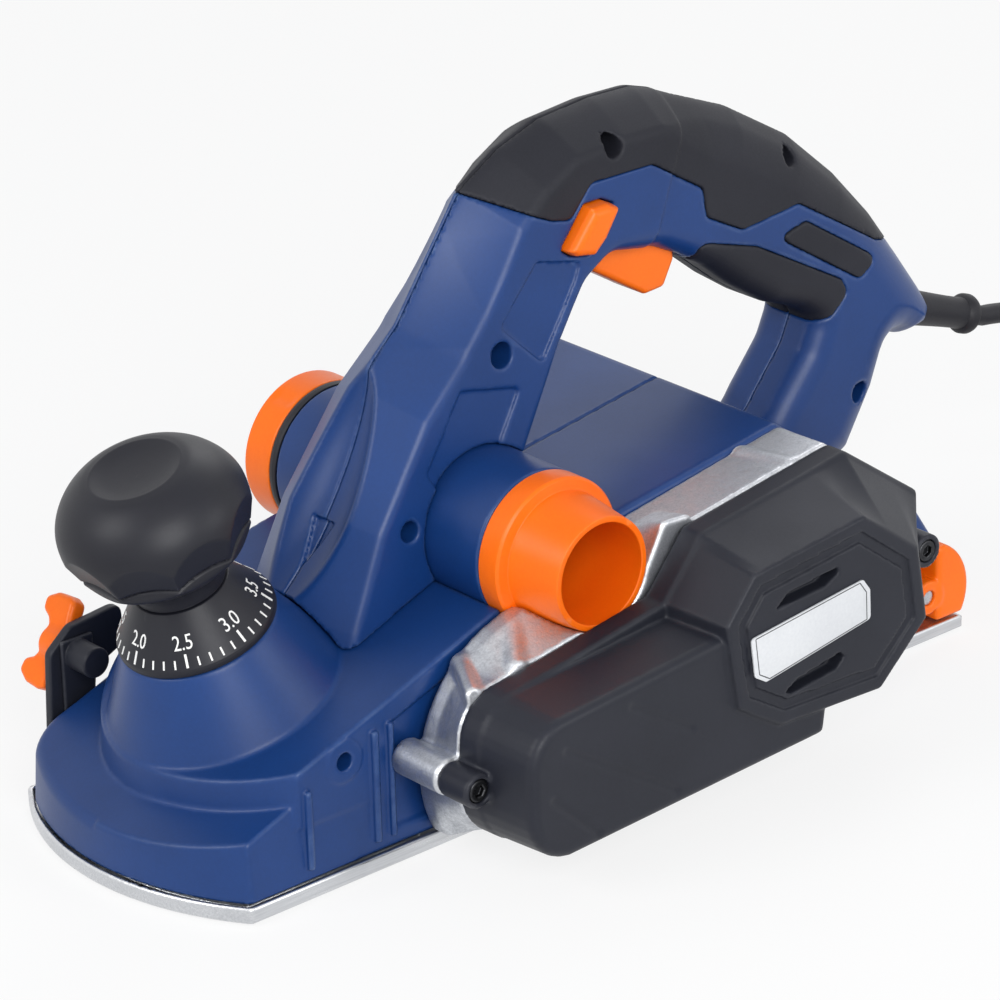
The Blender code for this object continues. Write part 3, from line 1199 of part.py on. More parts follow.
def smooth_route(points, count):
    """Points spaced along a Catmull-Rom curve through the route."""
    spots = [Vector(p) for p in points]
    spots = [spots[0] * 2.0 - spots[1], *spots, spots[-1] * 2.0 - spots[-2]]
    fine = []
    for a, b, c, d in zip(spots, spots[1:], spots[2:], spots[3:]):
        for i in range(12):
            t = i / 12.0
            fine.append(0.5 * (2.0 * b + (c - a) * t + (2.0 * a - 5.0 * b + 4.0 * c - d) * t ** 2
                               + (3.0 * b - a - 3.0 * c + d) * t ** 3))
    fine.append(spots[-2])
    line = np.array([tuple(p) for p in fine])
    along = np.concatenate([[0.0], np.cumsum(np.linalg.norm(np.diff(line, axis=0), axis=1))])
    at = np.linspace(0.0, along[-1], count)
    return [Vector([float(np.interp(s, along, line[:, k])) for k in range(3)]) for s in at]


def coil_line():
    """The put-away lead: in along the floor, up half a turn, out again on top, then to the plug."""
    middle_y = COIL_RADIUS
    low_z = CORD_RADIUS + COIL_LIFT
    total = 2.0 * COIL_TURNS + 0.5
    steps = int(total * COIL_POINTS)
    line = [Vector((COIL_X + COIL_TAIL, 0.0, low_z))]
    for i in range(steps + 1):
        turn = total * i / steps
        inner = COIL_RADIUS - COIL_STEP * COIL_TURNS
        share = min(1.0, max(0.0, (turn - COIL_TURNS) / 0.5))
        if turn <= COIL_TURNS:
            radius = COIL_RADIUS - COIL_STEP * turn
        else:
            dip = COIL_DIP * math.sin(math.pi * share)
            radius = inner - dip + COIL_STEP * max(0.0, turn - COIL_TURNS - 0.5)
        height = low_z + COIL_RISE * (0.5 - 0.5 * math.cos(math.pi * share))
        angle = -math.pi / 2.0 - 2.0 * math.pi * turn
        spot = (COIL_X + radius * math.cos(angle), middle_y + radius * math.sin(angle), height)
        line.append(Vector(spot))
    line.append(line[-1] + Vector((COIL_TAIL, 0.0, 0.0)))
    return line


def least_gap(line, radius):
    """The smallest clear space between parts of one tube that aren't neighbours along it."""
    spots = np.array([tuple(p) for p in line])
    fine = np.concatenate([spots[:-1] + (spots[1:] - spots[:-1]) * t for t in (0.0, 0.25, 0.5, 0.75)])
    order = np.concatenate([np.arange(len(spots) - 1) + t for t in (0.0, 0.25, 0.5, 0.75)])
    away = np.linalg.norm(fine[:, None] - fine[None], axis=2)
    away[np.abs(order[:, None] - order[None]) < 8] = 1.0
    return float(away.min()) - 2.0 * radius


def make_cord():
    tip = RELIEF_POINT + RELIEF_WAY * RELIEF_LENGTH
    root = RELIEF_POINT - RELIEF_WAY * RELIEF_ROOT
    profile = [
        (0.0, RELIEF_LENGTH), (RELIEF_COLLAR_RADIUS - MM, RELIEF_LENGTH), (RELIEF_COLLAR_RADIUS, RELIEF_LENGTH - MM),
        (RELIEF_COLLAR_RADIUS, RELIEF_LENGTH - RELIEF_COLLAR), (RELIEF_TIP_RADIUS, RELIEF_LENGTH - RELIEF_COLLAR - MM),
        (RELIEF_ROOT_RADIUS, 0.0), (RELIEF_ROOT_RADIUS, -RELIEF_ROOT), (0.0, -RELIEF_ROOT),
    ]
    part("strain_relief", turned(profile, RELIEF_POINT, RELIEF_WAY, 20), RUBBER)
    clamp = box((-6.0 * MM, -7.0 * MM, -3.0 * MM), (6.0 * MM, 7.0 * MM, 3.0 * MM))
    clamp.transform(axis_matrix(root - RELIEF_WAY * 10.0 * MM, RELIEF_WAY))
    part("cable_clamp", clamp, BLACK)
    coil = coil_line()
    first = tip + RELIEF_WAY * GAP
    lead = first + RELIEF_WAY * 2.0 * CORD_RADIUS
    last = coil[0] + Vector((GAP, 0.0, 0.0))
    before = last + Vector((2.0 * CORD_RADIUS, 0.0, 0.0))
    route = smooth_route([lead, *[Vector(p) * MM for p in CORD_ROUTE], before], CORD_POINTS)
    part("cord", tube([first, *route, last], CORD_RADIUS, 2), RUBBER)
    part("cord_coil", tube(coil, CORD_RADIUS, 1), RUBBER)
    print("coil gap mm", round(least_gap(coil, CORD_RADIUS) / MM, 2))
    make_tie()
    make_plug(coil[-1])


def make_tie():
    inner = COIL_RADIUS - COIL_STEP * COIL_TURNS - CORD_RADIUS - COIL_STEP
    outer = COIL_RADIUS + CORD_RADIUS + 2.0 * GAP
    low = COIL_LIFT - GAP
    high = COIL_LIFT + 2.0 * CORD_RADIUS + COIL_RISE + GAP
    grow = TIE_THICKNESS
    hole = [(inner, low), (outer, low), (outer, high), (inner, high)]
    rim = [(inner - grow, low - grow), (outer + grow, low - grow), (outer + grow, high + grow), (inner - grow, high + grow)]
    mesh = side_prism([rim, hole], -TIE_WIDTH / 2.0, TIE_WIDTH / 2.0)
    mesh.transform(Matrix.Translation((COIL_X, COIL_RADIUS, 0.0)) @ Matrix.Rotation(TIE_ANGLE, 4, "Z"))
    part("coil_tie", mesh, BLACK)


def make_plug(end):
    way = Vector((1.0, 0.0, 0.0))
    start = end + way * GAP
    profile = [
        (0.0, PLUG_NECK + PLUG_LENGTH), (PLUG_RADIUS * 0.9, PLUG_NECK + PLUG_LENGTH),
        (PLUG_RADIUS, PLUG_NECK + PLUG_LENGTH - 2.0 * MM), (PLUG_RADIUS, PLUG_NECK + 14.0 * MM),
        (PLUG_NECK_RADIUS + 2.0 * MM, PLUG_NECK), (CORD_RADIUS + MM, 0.0), (0.0, 0.0),
    ]
    plug = turned(profile, start, way, 24)
    for spot in plug.vertices:
        spread = min(1.0, max(0.0, (spot.co.x - start.x - PLUG_NECK) / (14.0 * MM)))
        spot.co.y = start.y + (spot.co.y - start.y) * (1.0 + 0.45 * spread)
    plug = part("plug_body", plug, BLACK)
    face = start.x + PLUG_NECK + PLUG_LENGTH
    for index, side in enumerate((1.0, -1.0)):
        y = start.y + side * PIN_SPACING / 2.0
        seat = rod((face - 8.0 * MM, y, start.z), (FAR, y, start.z), PIN_RADIUS + GAP, 12)
        cut(plug, cutter(f"pin_seat_{index + 1}", seat))
        pin = rod((face - 8.0 * MM + GAP, y, start.z), (face + PIN_LENGTH, y, start.z), PIN_RADIUS, 12)
        part(f"plug_pin_{index + 1}", pin, STEEL)


def main():
    make_front_shoe()
    make_base_frame()
    make_front_housing()
    make_adjuster()
    make_spring()
    make_drum()
    make_bearings()
    make_motor()
    make_belt_drive()
    make_belt_cover()
    tools = shell_tools()
    body = make_clamshell(tools)
    for side, word in ((1.0, "left"), (-1.0, "right")):
        make_shell(f"shell_{word}", side, tools, body)
        make_grip(f"grip_{word}", side, tools)
        make_lower_grip(f"lower_grip_{word}", side, tools)
    make_shell_screws()
    make_switch()
    make_duct()
    make_stop()
    make_foot()
    make_cord()


main()
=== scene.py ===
import math

import bmesh
import bpy
import numpy as np
from mathutils import Matrix, Vector


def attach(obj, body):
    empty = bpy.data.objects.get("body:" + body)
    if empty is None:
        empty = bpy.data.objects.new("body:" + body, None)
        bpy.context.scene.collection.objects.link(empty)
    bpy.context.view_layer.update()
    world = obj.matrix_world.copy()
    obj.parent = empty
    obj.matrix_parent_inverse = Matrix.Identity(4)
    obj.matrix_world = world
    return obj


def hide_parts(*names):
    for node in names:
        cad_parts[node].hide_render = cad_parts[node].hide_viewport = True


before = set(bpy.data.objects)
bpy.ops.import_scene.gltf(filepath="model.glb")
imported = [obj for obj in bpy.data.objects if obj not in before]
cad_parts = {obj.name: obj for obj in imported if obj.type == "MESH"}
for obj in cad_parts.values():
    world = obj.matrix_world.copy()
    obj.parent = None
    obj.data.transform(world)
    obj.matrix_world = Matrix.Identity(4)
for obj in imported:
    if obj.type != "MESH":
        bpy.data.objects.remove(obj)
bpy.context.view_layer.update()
millimetre = 0.001
print("frame loaded:", len(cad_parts), "nodes")

# camera, worked out for a square picture
cameraSettings = {
    "place": (0.9515, 1.09866, 0.70424),
    "azimuth": 0.86213,
    "elevation": 0.41011,
    "roll": -0.02762,
    "lens": 180.0,
    "sensor": 36.0,
}


def makeCamera(settings):
    turn, tilt, roll = settings["azimuth"], settings["elevation"], settings["roll"]
    back = Vector((math.cos(tilt) * math.cos(turn), math.cos(tilt) * math.sin(turn), math.sin(tilt)))
    level = Vector((-math.sin(turn), math.cos(turn), 0.0))
    rise = back.cross(level)
    right = level * math.cos(roll) + rise * math.sin(roll)
    up = rise * math.cos(roll) - level * math.sin(roll)
    data = bpy.data.cameras.new("studioCamera")
    data.lens = settings["lens"]
    data.sensor_width = settings["sensor"]
    data.clip_start = 0.05
    data.clip_end = 30.0
    camera = bpy.data.objects.new("studioCamera", data)
    camera.matrix_world = Matrix.Translation(settings["place"]) @ Matrix((right, up, back)).transposed().to_4x4()
    bpy.context.collection.objects.link(camera)
    bpy.context.scene.camera = camera


makeCamera(cameraSettings)

# studio: pale floor, white surround, soft boxes
studioSettings = {
    "floorSize": 6.0,
    "floorDrop": -0.0006,
    "floorGlow": 0.8,
    "worldStrength": 0.4,
    "boxes": [
        ("keyBox", (0.85, 1.45, 0.95), 1.0, 21.0),
        ("frontBox", (1.7, -0.35, 1.15), 0.9, 13.0),
        ("backBox", (-1.4, -0.9, 1.5), 1.2, 8.0),
        ("sideBox", (-0.9, 1.7, 0.9), 0.9, 7.0),
    ],
}


def seenRays(nodes, links):
    # 1 for rays from the camera, reflected or passing through
    path = nodes.new("ShaderNodeLightPath")
    share = nodes.new("ShaderNodeMath")
    share.operation = "MAXIMUM"
    links.new(path.outputs["Is Camera Ray"], share.inputs[0])
    links.new(path.outputs["Is Glossy Ray"], share.inputs[1])
    wide = nodes.new("ShaderNodeMath")
    wide.operation = "MAXIMUM"
    links.new(share.outputs[0], wide.inputs[0])
    links.new(path.outputs["Is Transmission Ray"], wide.inputs[1])
    return wide


def makeStudio(settings):
    half = settings["floorSize"] / 2.0
    drop = settings["floorDrop"]
    mesh = bpy.data.meshes.new("studioFloor")
    mesh.from_pydata(
        [(-half, -half, drop), (half, -half, drop), (half, half, drop), (-half, half, drop)], [],
        [(0, 1, 2, 3)],
    )
    floor = bpy.data.objects.new("studioFloor", mesh)
    bpy.context.collection.objects.link(floor)
    material = bpy.data.materials.new("paleFloor")
    material.use_nodes = True
    nodes, links = material.node_tree.nodes, material.node_tree.links
    nodes.clear()
    out = nodes.new("ShaderNodeOutputMaterial")
    mix = nodes.new("ShaderNodeMixShader")
    matt = nodes.new("ShaderNodeBsdfDiffuse")
    matt.inputs["Color"].default_value = (0.9, 0.9, 0.9, 1.0)
    glow = nodes.new("ShaderNodeEmission")
    glow.inputs["Color"].default_value = (1.0, 1.0, 1.0, 1.0)
    wide = seenRays(nodes, links)
    part = nodes.new("ShaderNodeMath")
    part.operation = "MULTIPLY"
    part.inputs[1].default_value = settings["floorGlow"]
    links.new(wide.outputs[0], part.inputs[0])
    links.new(part.outputs[0], mix.inputs[0])
    links.new(matt.outputs[0], mix.inputs[1])
    links.new(glow.outputs[0], mix.inputs[2])
    links.new(mix.outputs[0], out.inputs["Surface"])
    mesh.materials.append(material)

    world = bpy.data.worlds.new("studioWorld")
    bpy.context.scene.world = world
    world.use_nodes = True
    nodes, links = world.node_tree.nodes, world.node_tree.links
    nodes.clear()
    out = nodes.new("ShaderNodeOutputWorld")
    mix = nodes.new("ShaderNodeMixShader")
    soft = nodes.new("ShaderNodeBackground")
    soft.inputs["Color"].default_value = (0.95, 0.97, 1.0, 1.0)
    soft.inputs["Strength"].default_value = settings["worldStrength"]
    white = nodes.new("ShaderNodeBackground")
    white.inputs["Color"].default_value = (1.0, 1.0, 1.0, 1.0)
    wide = seenRays(nodes, links)
    links.new(wide.outputs[0], mix.inputs[0])
    links.new(soft.outputs[0], mix.inputs[1])
    links.new(white.outputs[0], mix.inputs[2])
    links.new(mix.outputs[0], out.inputs["Surface"])

    for name, place, size, power in settings["boxes"]:
        data = bpy.data.lights.new(name, "AREA")
        data.shape = "DISK"
        data.size = size
        data.energy = power
        lamp = bpy.data.objects.new(name, data)
        aim = Vector((0.0, 0.0, 0.06)) - Vector(place)
        lamp.matrix_world = Matrix.Translation(place) @ aim.to_track_quat("-Z", "Y").to_matrix().to_4x4()
        bpy.context.collection.objects.link(lamp)
    bpy.context.scene.view_settings.view_transform = "Standard"


makeStudio(studioSettings)
print("camera and studio ready")


# shader groups shared by the finishes
def newGroup(name, inputs, outputs):
    group = bpy.data.node_groups.new(name, "ShaderNodeTree")
    for label, kind, value in inputs:
        socket = group.interface.new_socket(label, in_out="INPUT", socket_type=kind)
        socket.default_value = value
    for label, kind in outputs:
        group.interface.new_socket(label, in_out="OUTPUT", socket_type=kind)
    return group, group.nodes.new("NodeGroupInput"), group.nodes.new("NodeGroupOutput")


def addMath(group, operation, first, second):
    node = group.nodes.new("ShaderNodeMath")
    node.operation = operation
    for slot, value in zip(node.inputs, (first, second)):
        if isinstance(value, (int, float)):
            slot.default_value = value
        else:
            group.links.new(value, slot)
    return node.outputs[0]


def addNoise(group, place, scale, detail=3.0, rough=0.55):
    node = group.nodes.new("ShaderNodeTexNoise")
    node.inputs["Detail"].default_value = detail
    node.inputs["Roughness"].default_value = rough
    group.links.new(place, node.inputs["Vector"])
    if isinstance(scale, (int, float)):
        node.inputs["Scale"].default_value = scale
    else:
        group.links.new(scale, node.inputs["Scale"])
    return node.outputs["Fac"]


def addRange(group, value, low, high, toLow, toHigh):
    node = group.nodes.new("ShaderNodeMapRange")
    group.links.new(value, node.inputs["Value"])
    for label, setting in (("From Min", low), ("From Max", high), ("To Min", toLow), ("To Max", toHigh)):
        if isinstance(setting, (int, float)):
            node.inputs[label].default_value = setting
        else:
            group.links.new(setting, node.inputs[label])
    return node.outputs["Result"]


def addMix(group, factor, first, second):
    node = group.nodes.new("ShaderNodeMix")
    node.data_type = "RGBA"
    for slot, value in ((node.inputs["Factor"], factor), (node.inputs["A"], first), (node.inputs["B"], second)):
        if isinstance(value, (int, float)):
            slot.default_value = value
        elif isinstance(value, tuple):
            slot.default_value = value
        else:
            group.links.new(value, slot)
    return node.outputs["Result"]


def makeGrainGroup():
    # moulded surface: cloudy tone, fine spark-eroded grain, faint rubbed patches
    group, start, end = newGroup(
        "mouldedGrain",
        [
            ("Tone", "NodeSocketColor", (0.1, 0.2, 0.4, 1.0)),
            ("Shade", "NodeSocketColor", (0.05, 0.1, 0.2, 1.0)),
            ("Cloud Scale", "NodeSocketFloat", 18.0),
            ("Grain Scale", "NodeSocketFloat", 2600.0),
            ("Matt", "NodeSocketFloat", 0.5),
            ("Polish", "NodeSocketFloat", 0.35),
        ],
        [("Colour", "NodeSocketColor"), ("Roughness", "NodeSocketFloat"), ("Height", "NodeSocketFloat")],
    )
    place = group.nodes.new("ShaderNodeTexCoord").outputs["Object"]
    cloud = addNoise(group, place, start.outputs["Cloud Scale"], 4.0)
    grain = addNoise(group, place, start.outputs["Grain Scale"], 2.0, 0.5)
    speck = addNoise(group, place, 900.0, 2.0)
    tone = addMath(
        group, "ADD", addMath(group, "MULTIPLY", cloud, 0.75), addMath(group, "MULTIPLY", speck, 0.25),
    )
    group.links.new(
        addMix(
            group, addRange(group, tone, 0.38, 0.66, 0.0, 1.0), start.outputs["Tone"], start.outputs["Shade"],
        ),
        end.inputs["Colour"],
    )
    rub = addMath(group, "ADD", addMath(group, "MULTIPLY", cloud, 0.6), addMath(group, "MULTIPLY", grain, 0.4))
    group.links.new(
        addRange(group, rub, 0.35, 0.65, start.outputs["Polish"], start.outputs["Matt"]),
        end.inputs["Roughness"],
    )
    group.links.new(
        addMath(group, "ADD", addMath(group, "MULTIPLY", grain, 0.8), addMath(group, "MULTIPLY", speck, 0.2)),
        end.inputs["Height"],
    )
    return group


def makeWearGroup():
    # pale rubbing on the outer edges, broken up by scratches
    group, start, end = newGroup(
        "edgeWear",
        [
            ("Colour", "NodeSocketColor", (0.1, 0.2, 0.4, 1.0)),
            ("Worn", "NodeSocketColor", (0.5, 0.5, 0.5, 1.0)),
            ("Amount", "NodeSocketFloat", 0.3),
        ],
        [("Colour", "NodeSocketColor"), ("Mask", "NodeSocketFloat")],
    )
    shape = group.nodes.new("ShaderNodeNewGeometry")
    place = group.nodes.new("ShaderNodeTexCoord").outputs["Object"]
    edge = addRange(group, shape.outputs["Pointiness"], 0.52, 0.62, 0.0, 1.0)
    broken = addRange(group, addNoise(group, place, 140.0, 5.0, 0.65), 0.42, 0.62, 0.15, 1.0)
    mask = addMath(group, "MULTIPLY", addMath(group, "MULTIPLY", edge, broken), start.outputs["Amount"])
    group.links.new(mask, end.inputs["Mask"])
    group.links.new(addMix(group, mask, start.outputs["Colour"], start.outputs["Worn"]), end.inputs["Colour"])
    return group


def makeBrushGroup():
    # machined metal: long fine tool lines, duller patches
    group, start, end = newGroup(
        "toolLines",
        [
            ("Tone", "NodeSocketColor", (0.6, 0.6, 0.6, 1.0)),
            ("Shade", "NodeSocketColor", (0.4, 0.4, 0.4, 1.0)),
            ("Along", "NodeSocketVector", (20.0, 900.0, 900.0)),
            ("Dull", "NodeSocketFloat", 0.45),
            ("Bright", "NodeSocketFloat", 0.2),
        ],
        [("Colour", "NodeSocketColor"), ("Roughness", "NodeSocketFloat"), ("Height", "NodeSocketFloat")],
    )
    place = group.nodes.new("ShaderNodeTexCoord").outputs["Object"]
    stretch = group.nodes.new("ShaderNodeVectorMath")
    stretch.operation = "MULTIPLY"
    group.links.new(place, stretch.inputs[0])
    group.links.new(start.outputs["Along"], stretch.inputs[1])
    lines = addNoise(group, stretch.outputs[0], 1.0, 4.0, 0.6)
    patch = addNoise(group, place, 35.0, 4.0)
    tone = addMath(group, "ADD", addMath(group, "MULTIPLY", lines, 0.6), addMath(group, "MULTIPLY", patch, 0.4))
    group.links.new(
        addMix(
            group, addRange(group, tone, 0.36, 0.64, 0.0, 1.0), start.outputs["Tone"], start.outputs["Shade"],
        ),
        end.inputs["Colour"],
    )
    group.links.new(
        addRange(group, tone, 0.36, 0.64, start.outputs["Bright"], start.outputs["Dull"]),
        end.inputs["Roughness"],
    )
    group.links.new(lines, end.inputs["Height"])
    return group


grainGroup = makeGrainGroup()
wearGroup = makeWearGroup()
brushGroup = makeBrushGroup()


def plainMaterial(name, metallic=0.0, specular=0.5, coat=0.0):
    material = bpy.data.materials.new(name)
    material.use_nodes = True
    tree = material.node_tree
    shader = tree.nodes["Principled BSDF"]
    shader.inputs["Metallic"].default_value = metallic
    shader.inputs["Specular IOR Level"].default_value = specular
    shader.inputs["Coat Weight"].default_value = coat
    return material, tree, shader


def addBump(tree, shader, height, strength, depth):
    bump = tree.nodes.new("ShaderNodeBump")
    bump.inputs["Strength"].default_value = strength
    bump.inputs["Distance"].default_value = depth
    tree.links.new(height, bump.inputs["Height"])
    tree.links.new(bump.outputs["Normal"], shader.inputs["Normal"])


def linear(red, green, blue):
    values = [v / 255.0 for v in (red, green, blue)]
    return tuple(v / 12.92 if v <= 0.04045 else ((v + 0.055) / 1.055) ** 2.4 for v in values) + (1.0,)


def addWear(tree, shader, settings, colour):
    wear = tree.nodes.new("ShaderNodeGroup")
    wear.node_tree = wearGroup
    wear.inputs["Worn"].default_value = linear(*settings["worn"])
    wear.inputs["Amount"].default_value = settings["wear"]
    tree.links.new(colour, wear.inputs["Colour"])
    tree.links.new(wear.outputs["Colour"], shader.inputs["Base Color"])
    return wear


def mouldedMaterial(name, settings):
    material, tree, shader = plainMaterial(name, 0.0, settings.get("specular", 0.5), settings.get("coat", 0.0))
    grain = tree.nodes.new("ShaderNodeGroup")
    grain.node_tree = grainGroup
    grain.inputs["Tone"].default_value = linear(*settings["tone"])
    grain.inputs["Shade"].default_value = linear(*settings["shade"])
    grain.inputs["Cloud Scale"].default_value = settings.get("cloud", 18.0)
    grain.inputs["Grain Scale"].default_value = settings.get("grain", 2600.0)
    grain.inputs["Matt"].default_value = settings["matt"]
    grain.inputs["Polish"].default_value = settings["polish"]
    addWear(tree, shader, settings, grain.outputs["Colour"])
    tree.links.new(grain.outputs["Roughness"], shader.inputs["Roughness"])
    addBump(tree, shader, grain.outputs["Height"], settings["bump"], settings.get("depth", 0.00012))
    return material


def machinedMaterial(name, settings):
    material, tree, shader = plainMaterial(name, settings.get("metallic", 1.0))
    lines = tree.nodes.new("ShaderNodeGroup")
    lines.node_tree = brushGroup
    lines.inputs["Tone"].default_value = linear(*settings["tone"])
    lines.inputs["Shade"].default_value = linear(*settings["shade"])
    lines.inputs["Along"].default_value = settings["along"]
    lines.inputs["Dull"].default_value = settings["dull"]
    lines.inputs["Bright"].default_value = settings["bright"]
    addWear(tree, shader, settings, lines.outputs["Colour"])
    tree.links.new(lines.outputs["Roughness"], shader.inputs["Roughness"])
    addBump(tree, shader, lines.outputs["Height"], settings["bump"], settings.get("depth", 0.0001))
    return material


finishSettings = {
    "bluePlastic": {
        "tone": (18, 57, 117), "shade": (15, 50, 104), "specular": 0.36, "matt": 0.44, "polish": 0.33,
        "worn": (130, 160, 200), "wear": 0.25, "bump": 0.10, "grain": 2200.0,
    },
    "blackPlastic": {
        "tone": (36, 38, 47), "shade": (30, 32, 40), "specular": 0.25, "matt": 0.52, "polish": 0.4,
        "worn": (120, 120, 125), "wear": 0.22, "bump": 0.12, "grain": 2200.0,
    },
    "softGrip": {
        "tone": (34, 35, 43), "shade": (29, 30, 37), "specular": 0.25, "matt": 0.62, "polish": 0.5,
        "worn": (100, 100, 104), "wear": 0.15, "bump": 0.16, "grain": 1800.0,
    },
    "orangePlastic": {
        "tone": (255, 116, 12), "shade": (250, 106, 8), "specular": 0.3, "matt": 0.42, "polish": 0.3,
        "worn": (255, 190, 130), "wear": 0.25, "bump": 0.07, "grain": 2200.0,
    },
    "knobPlastic": {
        "tone": (27, 28, 36), "shade": (23, 23, 30), "specular": 0.3, "matt": 0.5, "polish": 0.4,
        "worn": (120, 120, 125), "wear": 0.2, "bump": 0.05, "grain": 2000.0,
    },
    "leadRubber": {
        "tone": (32, 32, 38), "shade": (25, 25, 30), "specular": 0.3, "matt": 0.6, "polish": 0.46,
        "worn": (90, 90, 92), "wear": 0.2, "bump": 0.12, "grain": 1500.0,
    },
    "windingCopper": {
        "tone": (178, 104, 62), "shade": (150, 82, 46), "matt": 0.5, "polish": 0.34, "worn": (225, 160, 110),
        "wear": 0.3, "bump": 0.2, "grain": 1400.0,
    },
    "scalePrint": {
        "tone": (240, 240, 238), "shade": (226, 226, 226), "matt": 0.6, "polish": 0.5, "worn": (255, 255, 255),
        "wear": 0.1, "bump": 0.05,
    },
    "plateFoil": {
        "tone": (222, 224, 226), "shade": (206, 208, 212), "matt": 0.4, "polish": 0.26, "worn": (250, 250, 250),
        "wear": 0.15, "bump": 0.05,
    },
    "plateInk": {
        "tone": (60, 62, 66), "shade": (48, 50, 54), "matt": 0.6, "polish": 0.5, "worn": (120, 120, 124),
        "wear": 0.1, "bump": 0.05,
    },
}
machinedSettings = {
    "groundAluminium": {
        "tone": (214, 216, 219), "shade": (188, 190, 194), "along": (40.0, 1500.0, 1500.0), "dull": 0.42,
        "bright": 0.24, "worn": (245, 245, 245), "wear": 0.5, "bump": 0.12,
    },
    "brightSteel": {
        "tone": (196, 198, 202), "shade": (160, 162, 168), "along": (600.0, 60.0, 600.0), "dull": 0.4,
        "bright": 0.2, "worn": (240, 240, 240), "wear": 0.5, "bump": 0.1,
    },
    "darkSteel": {
        "tone": (62, 63, 66), "shade": (44, 45, 48), "along": (500.0, 500.0, 500.0), "dull": 0.52,
        "bright": 0.34, "worn": (150, 150, 152), "wear": 0.45, "bump": 0.1,
    },
    "motorCore": {
        "tone": (110, 112, 116), "shade": (78, 80, 84), "along": (60.0, 2200.0, 60.0), "dull": 0.56,
        "bright": 0.38, "worn": (180, 180, 184), "wear": 0.4, "bump": 0.3,
    },
}
finishes = {name: mouldedMaterial(name, settings) for name, settings in finishSettings.items()}
finishes.update({name: machinedMaterial(name, settings) for name, settings in machinedSettings.items()})


def castMaterial(name, settings):
    # sand-blasted casting: lumpy skin, speckle, bright rubbed edges
    material, tree, shader = plainMaterial(name, 1.0)
    place = tree.nodes.new("ShaderNodeTexCoord").outputs["Object"]
    lump = addNoise(tree, place, settings["lump"], 3.0, 0.6)
    skin = addNoise(tree, place, settings["skin"], 4.0, 0.6)
    both = addMath(tree, "ADD", addMath(tree, "MULTIPLY", lump, 0.45), addMath(tree, "MULTIPLY", skin, 0.55))
    colour = addMix(
        tree, addRange(tree, both, 0.38, 0.64, 0.0, 1.0), linear(*settings["tone"]), linear(*settings["shade"]),
    )
    wear = addWear(tree, shader, settings, colour)
    rough = addMath(
        tree, "SUBTRACT", addRange(tree, both, 0.36, 0.66, settings["bright"], settings["dull"]),
        addMath(tree, "MULTIPLY", wear.outputs["Mask"], 0.15),
    )
    tree.links.new(rough, shader.inputs["Roughness"])
    addBump(tree, shader, both, settings["bump"], 0.00035)
    return material


castSkin = {
    "tone": (206, 209, 214), "shade": (170, 173, 179), "worn": (240, 240, 242), "wear": 0.8, "lump": 260.0,
    "skin": 1300.0, "bright": 0.36, "dull": 0.56, "bump": 0.35,
}
finishes["castAluminium"] = castMaterial("castAluminium", castSkin)
print("finishes ready:", len(finishes))

# carving tools: a form is a function giving the distance to its skin, in millimetres
gridSettings = {"coarse": 1.0}
bodyPieces = []


def roundMax(first, second, radius):
    inner = np.minimum(-radius, np.maximum(first, second))
    return inner + np.hypot(np.maximum(first + radius, 0.0), np.maximum(second + radius, 0.0))


def roundMin(first, second, radius):
    return -roundMax(-first, -second, radius)


def awayFrom(spot, x, z):
    return np.hypot(x - spot[0], z - spot[1])


def slab(value, low, high):
    return np.maximum(low - value, value - high)


def blockForm(x, y, z, low, high, radius=0.0):
    sides = [np.abs(v - (a + b) / 2.0) - (b - a) / 2.0 + radius for v, a, b in zip((x, y, z), low, high)]
    outside = np.sqrt(sum(np.maximum(side, 0.0) ** 2 for side in sides))
    return outside + np.minimum(np.maximum(np.maximum(sides[0], sides[1]), sides[2]), 0.0) - radius


def outlineDistance(points, a, b):
    nearest, inside = None, None
    for (a0, b0), (a1, b1) in zip(points, points[1:] + points[:1]):
        ea, eb = a1 - a0, b1 - b0
        along = np.clip(((a - a0) * ea + (b - b0) * eb) / (ea * ea + eb * eb), 0.0, 1.0)
        gap = (a - a0 - ea * along) ** 2 + (b - b0 - eb * along) ** 2
        nearest = gap if nearest is None else np.minimum(nearest, gap)
        if b0 != b1:
            hit = ((b0 > b) != (b1 > b)) & (a < ea * (b - b0) / eb + a0)
            inside = hit if inside is None else inside ^ hit
    distance = np.sqrt(nearest)
    return np.where(inside, -distance, distance)


def lineDistance(points, x, y, z):
    nearest = None
    for start, end in zip(points, points[1:]):
        way = [e - s for s, e in zip(start, end)]
        size = sum(w * w for w in way)
        along = sum((v - s) * w for v, s, w in zip((x, y, z), start, way)) / size
        along = np.clip(along, 0.0, 1.0)
        gap = sum((v - s - w * along) ** 2 for v, s, w in zip((x, y, z), start, way))
        nearest = gap if nearest is None else np.minimum(nearest, gap)
    return np.sqrt(nearest)


def softCorners(points, radius, steps=5):
    count = len(points)
    result = []
    for index, spot in enumerate(points):
        here = np.array(spot, float)
        before = np.array(points[index - 1], float) - here
        after = np.array(points[(index + 1) % count], float) - here
        lengthBefore, lengthAfter = np.linalg.norm(before), np.linalg.norm(after)
        before, after = before / lengthBefore, after / lengthAfter
        bend = math.acos(max(-1.0, min(1.0, float(before @ after))))
        reach = min(
            radius / math.tan(bend / 2.0), 0.45 * lengthBefore, 0.45 * lengthAfter,
        ) if bend < 3.1 else 0.0
        if reach < 0.05:
            result.append(tuple(here))
            continue
        for step in range(steps + 1):
            t = step / steps
            result.append(tuple(here + before * reach * (1 - t) ** 2 + after * reach * t ** 2))
    return result


def arcPoints(x, z, radius, first, last, count):
    turns = [math.radians(first + (last - first) * i / (count - 1)) for i in range(count)]
    return [(x + radius * math.cos(t), z + radius * math.sin(t)) for t in turns]


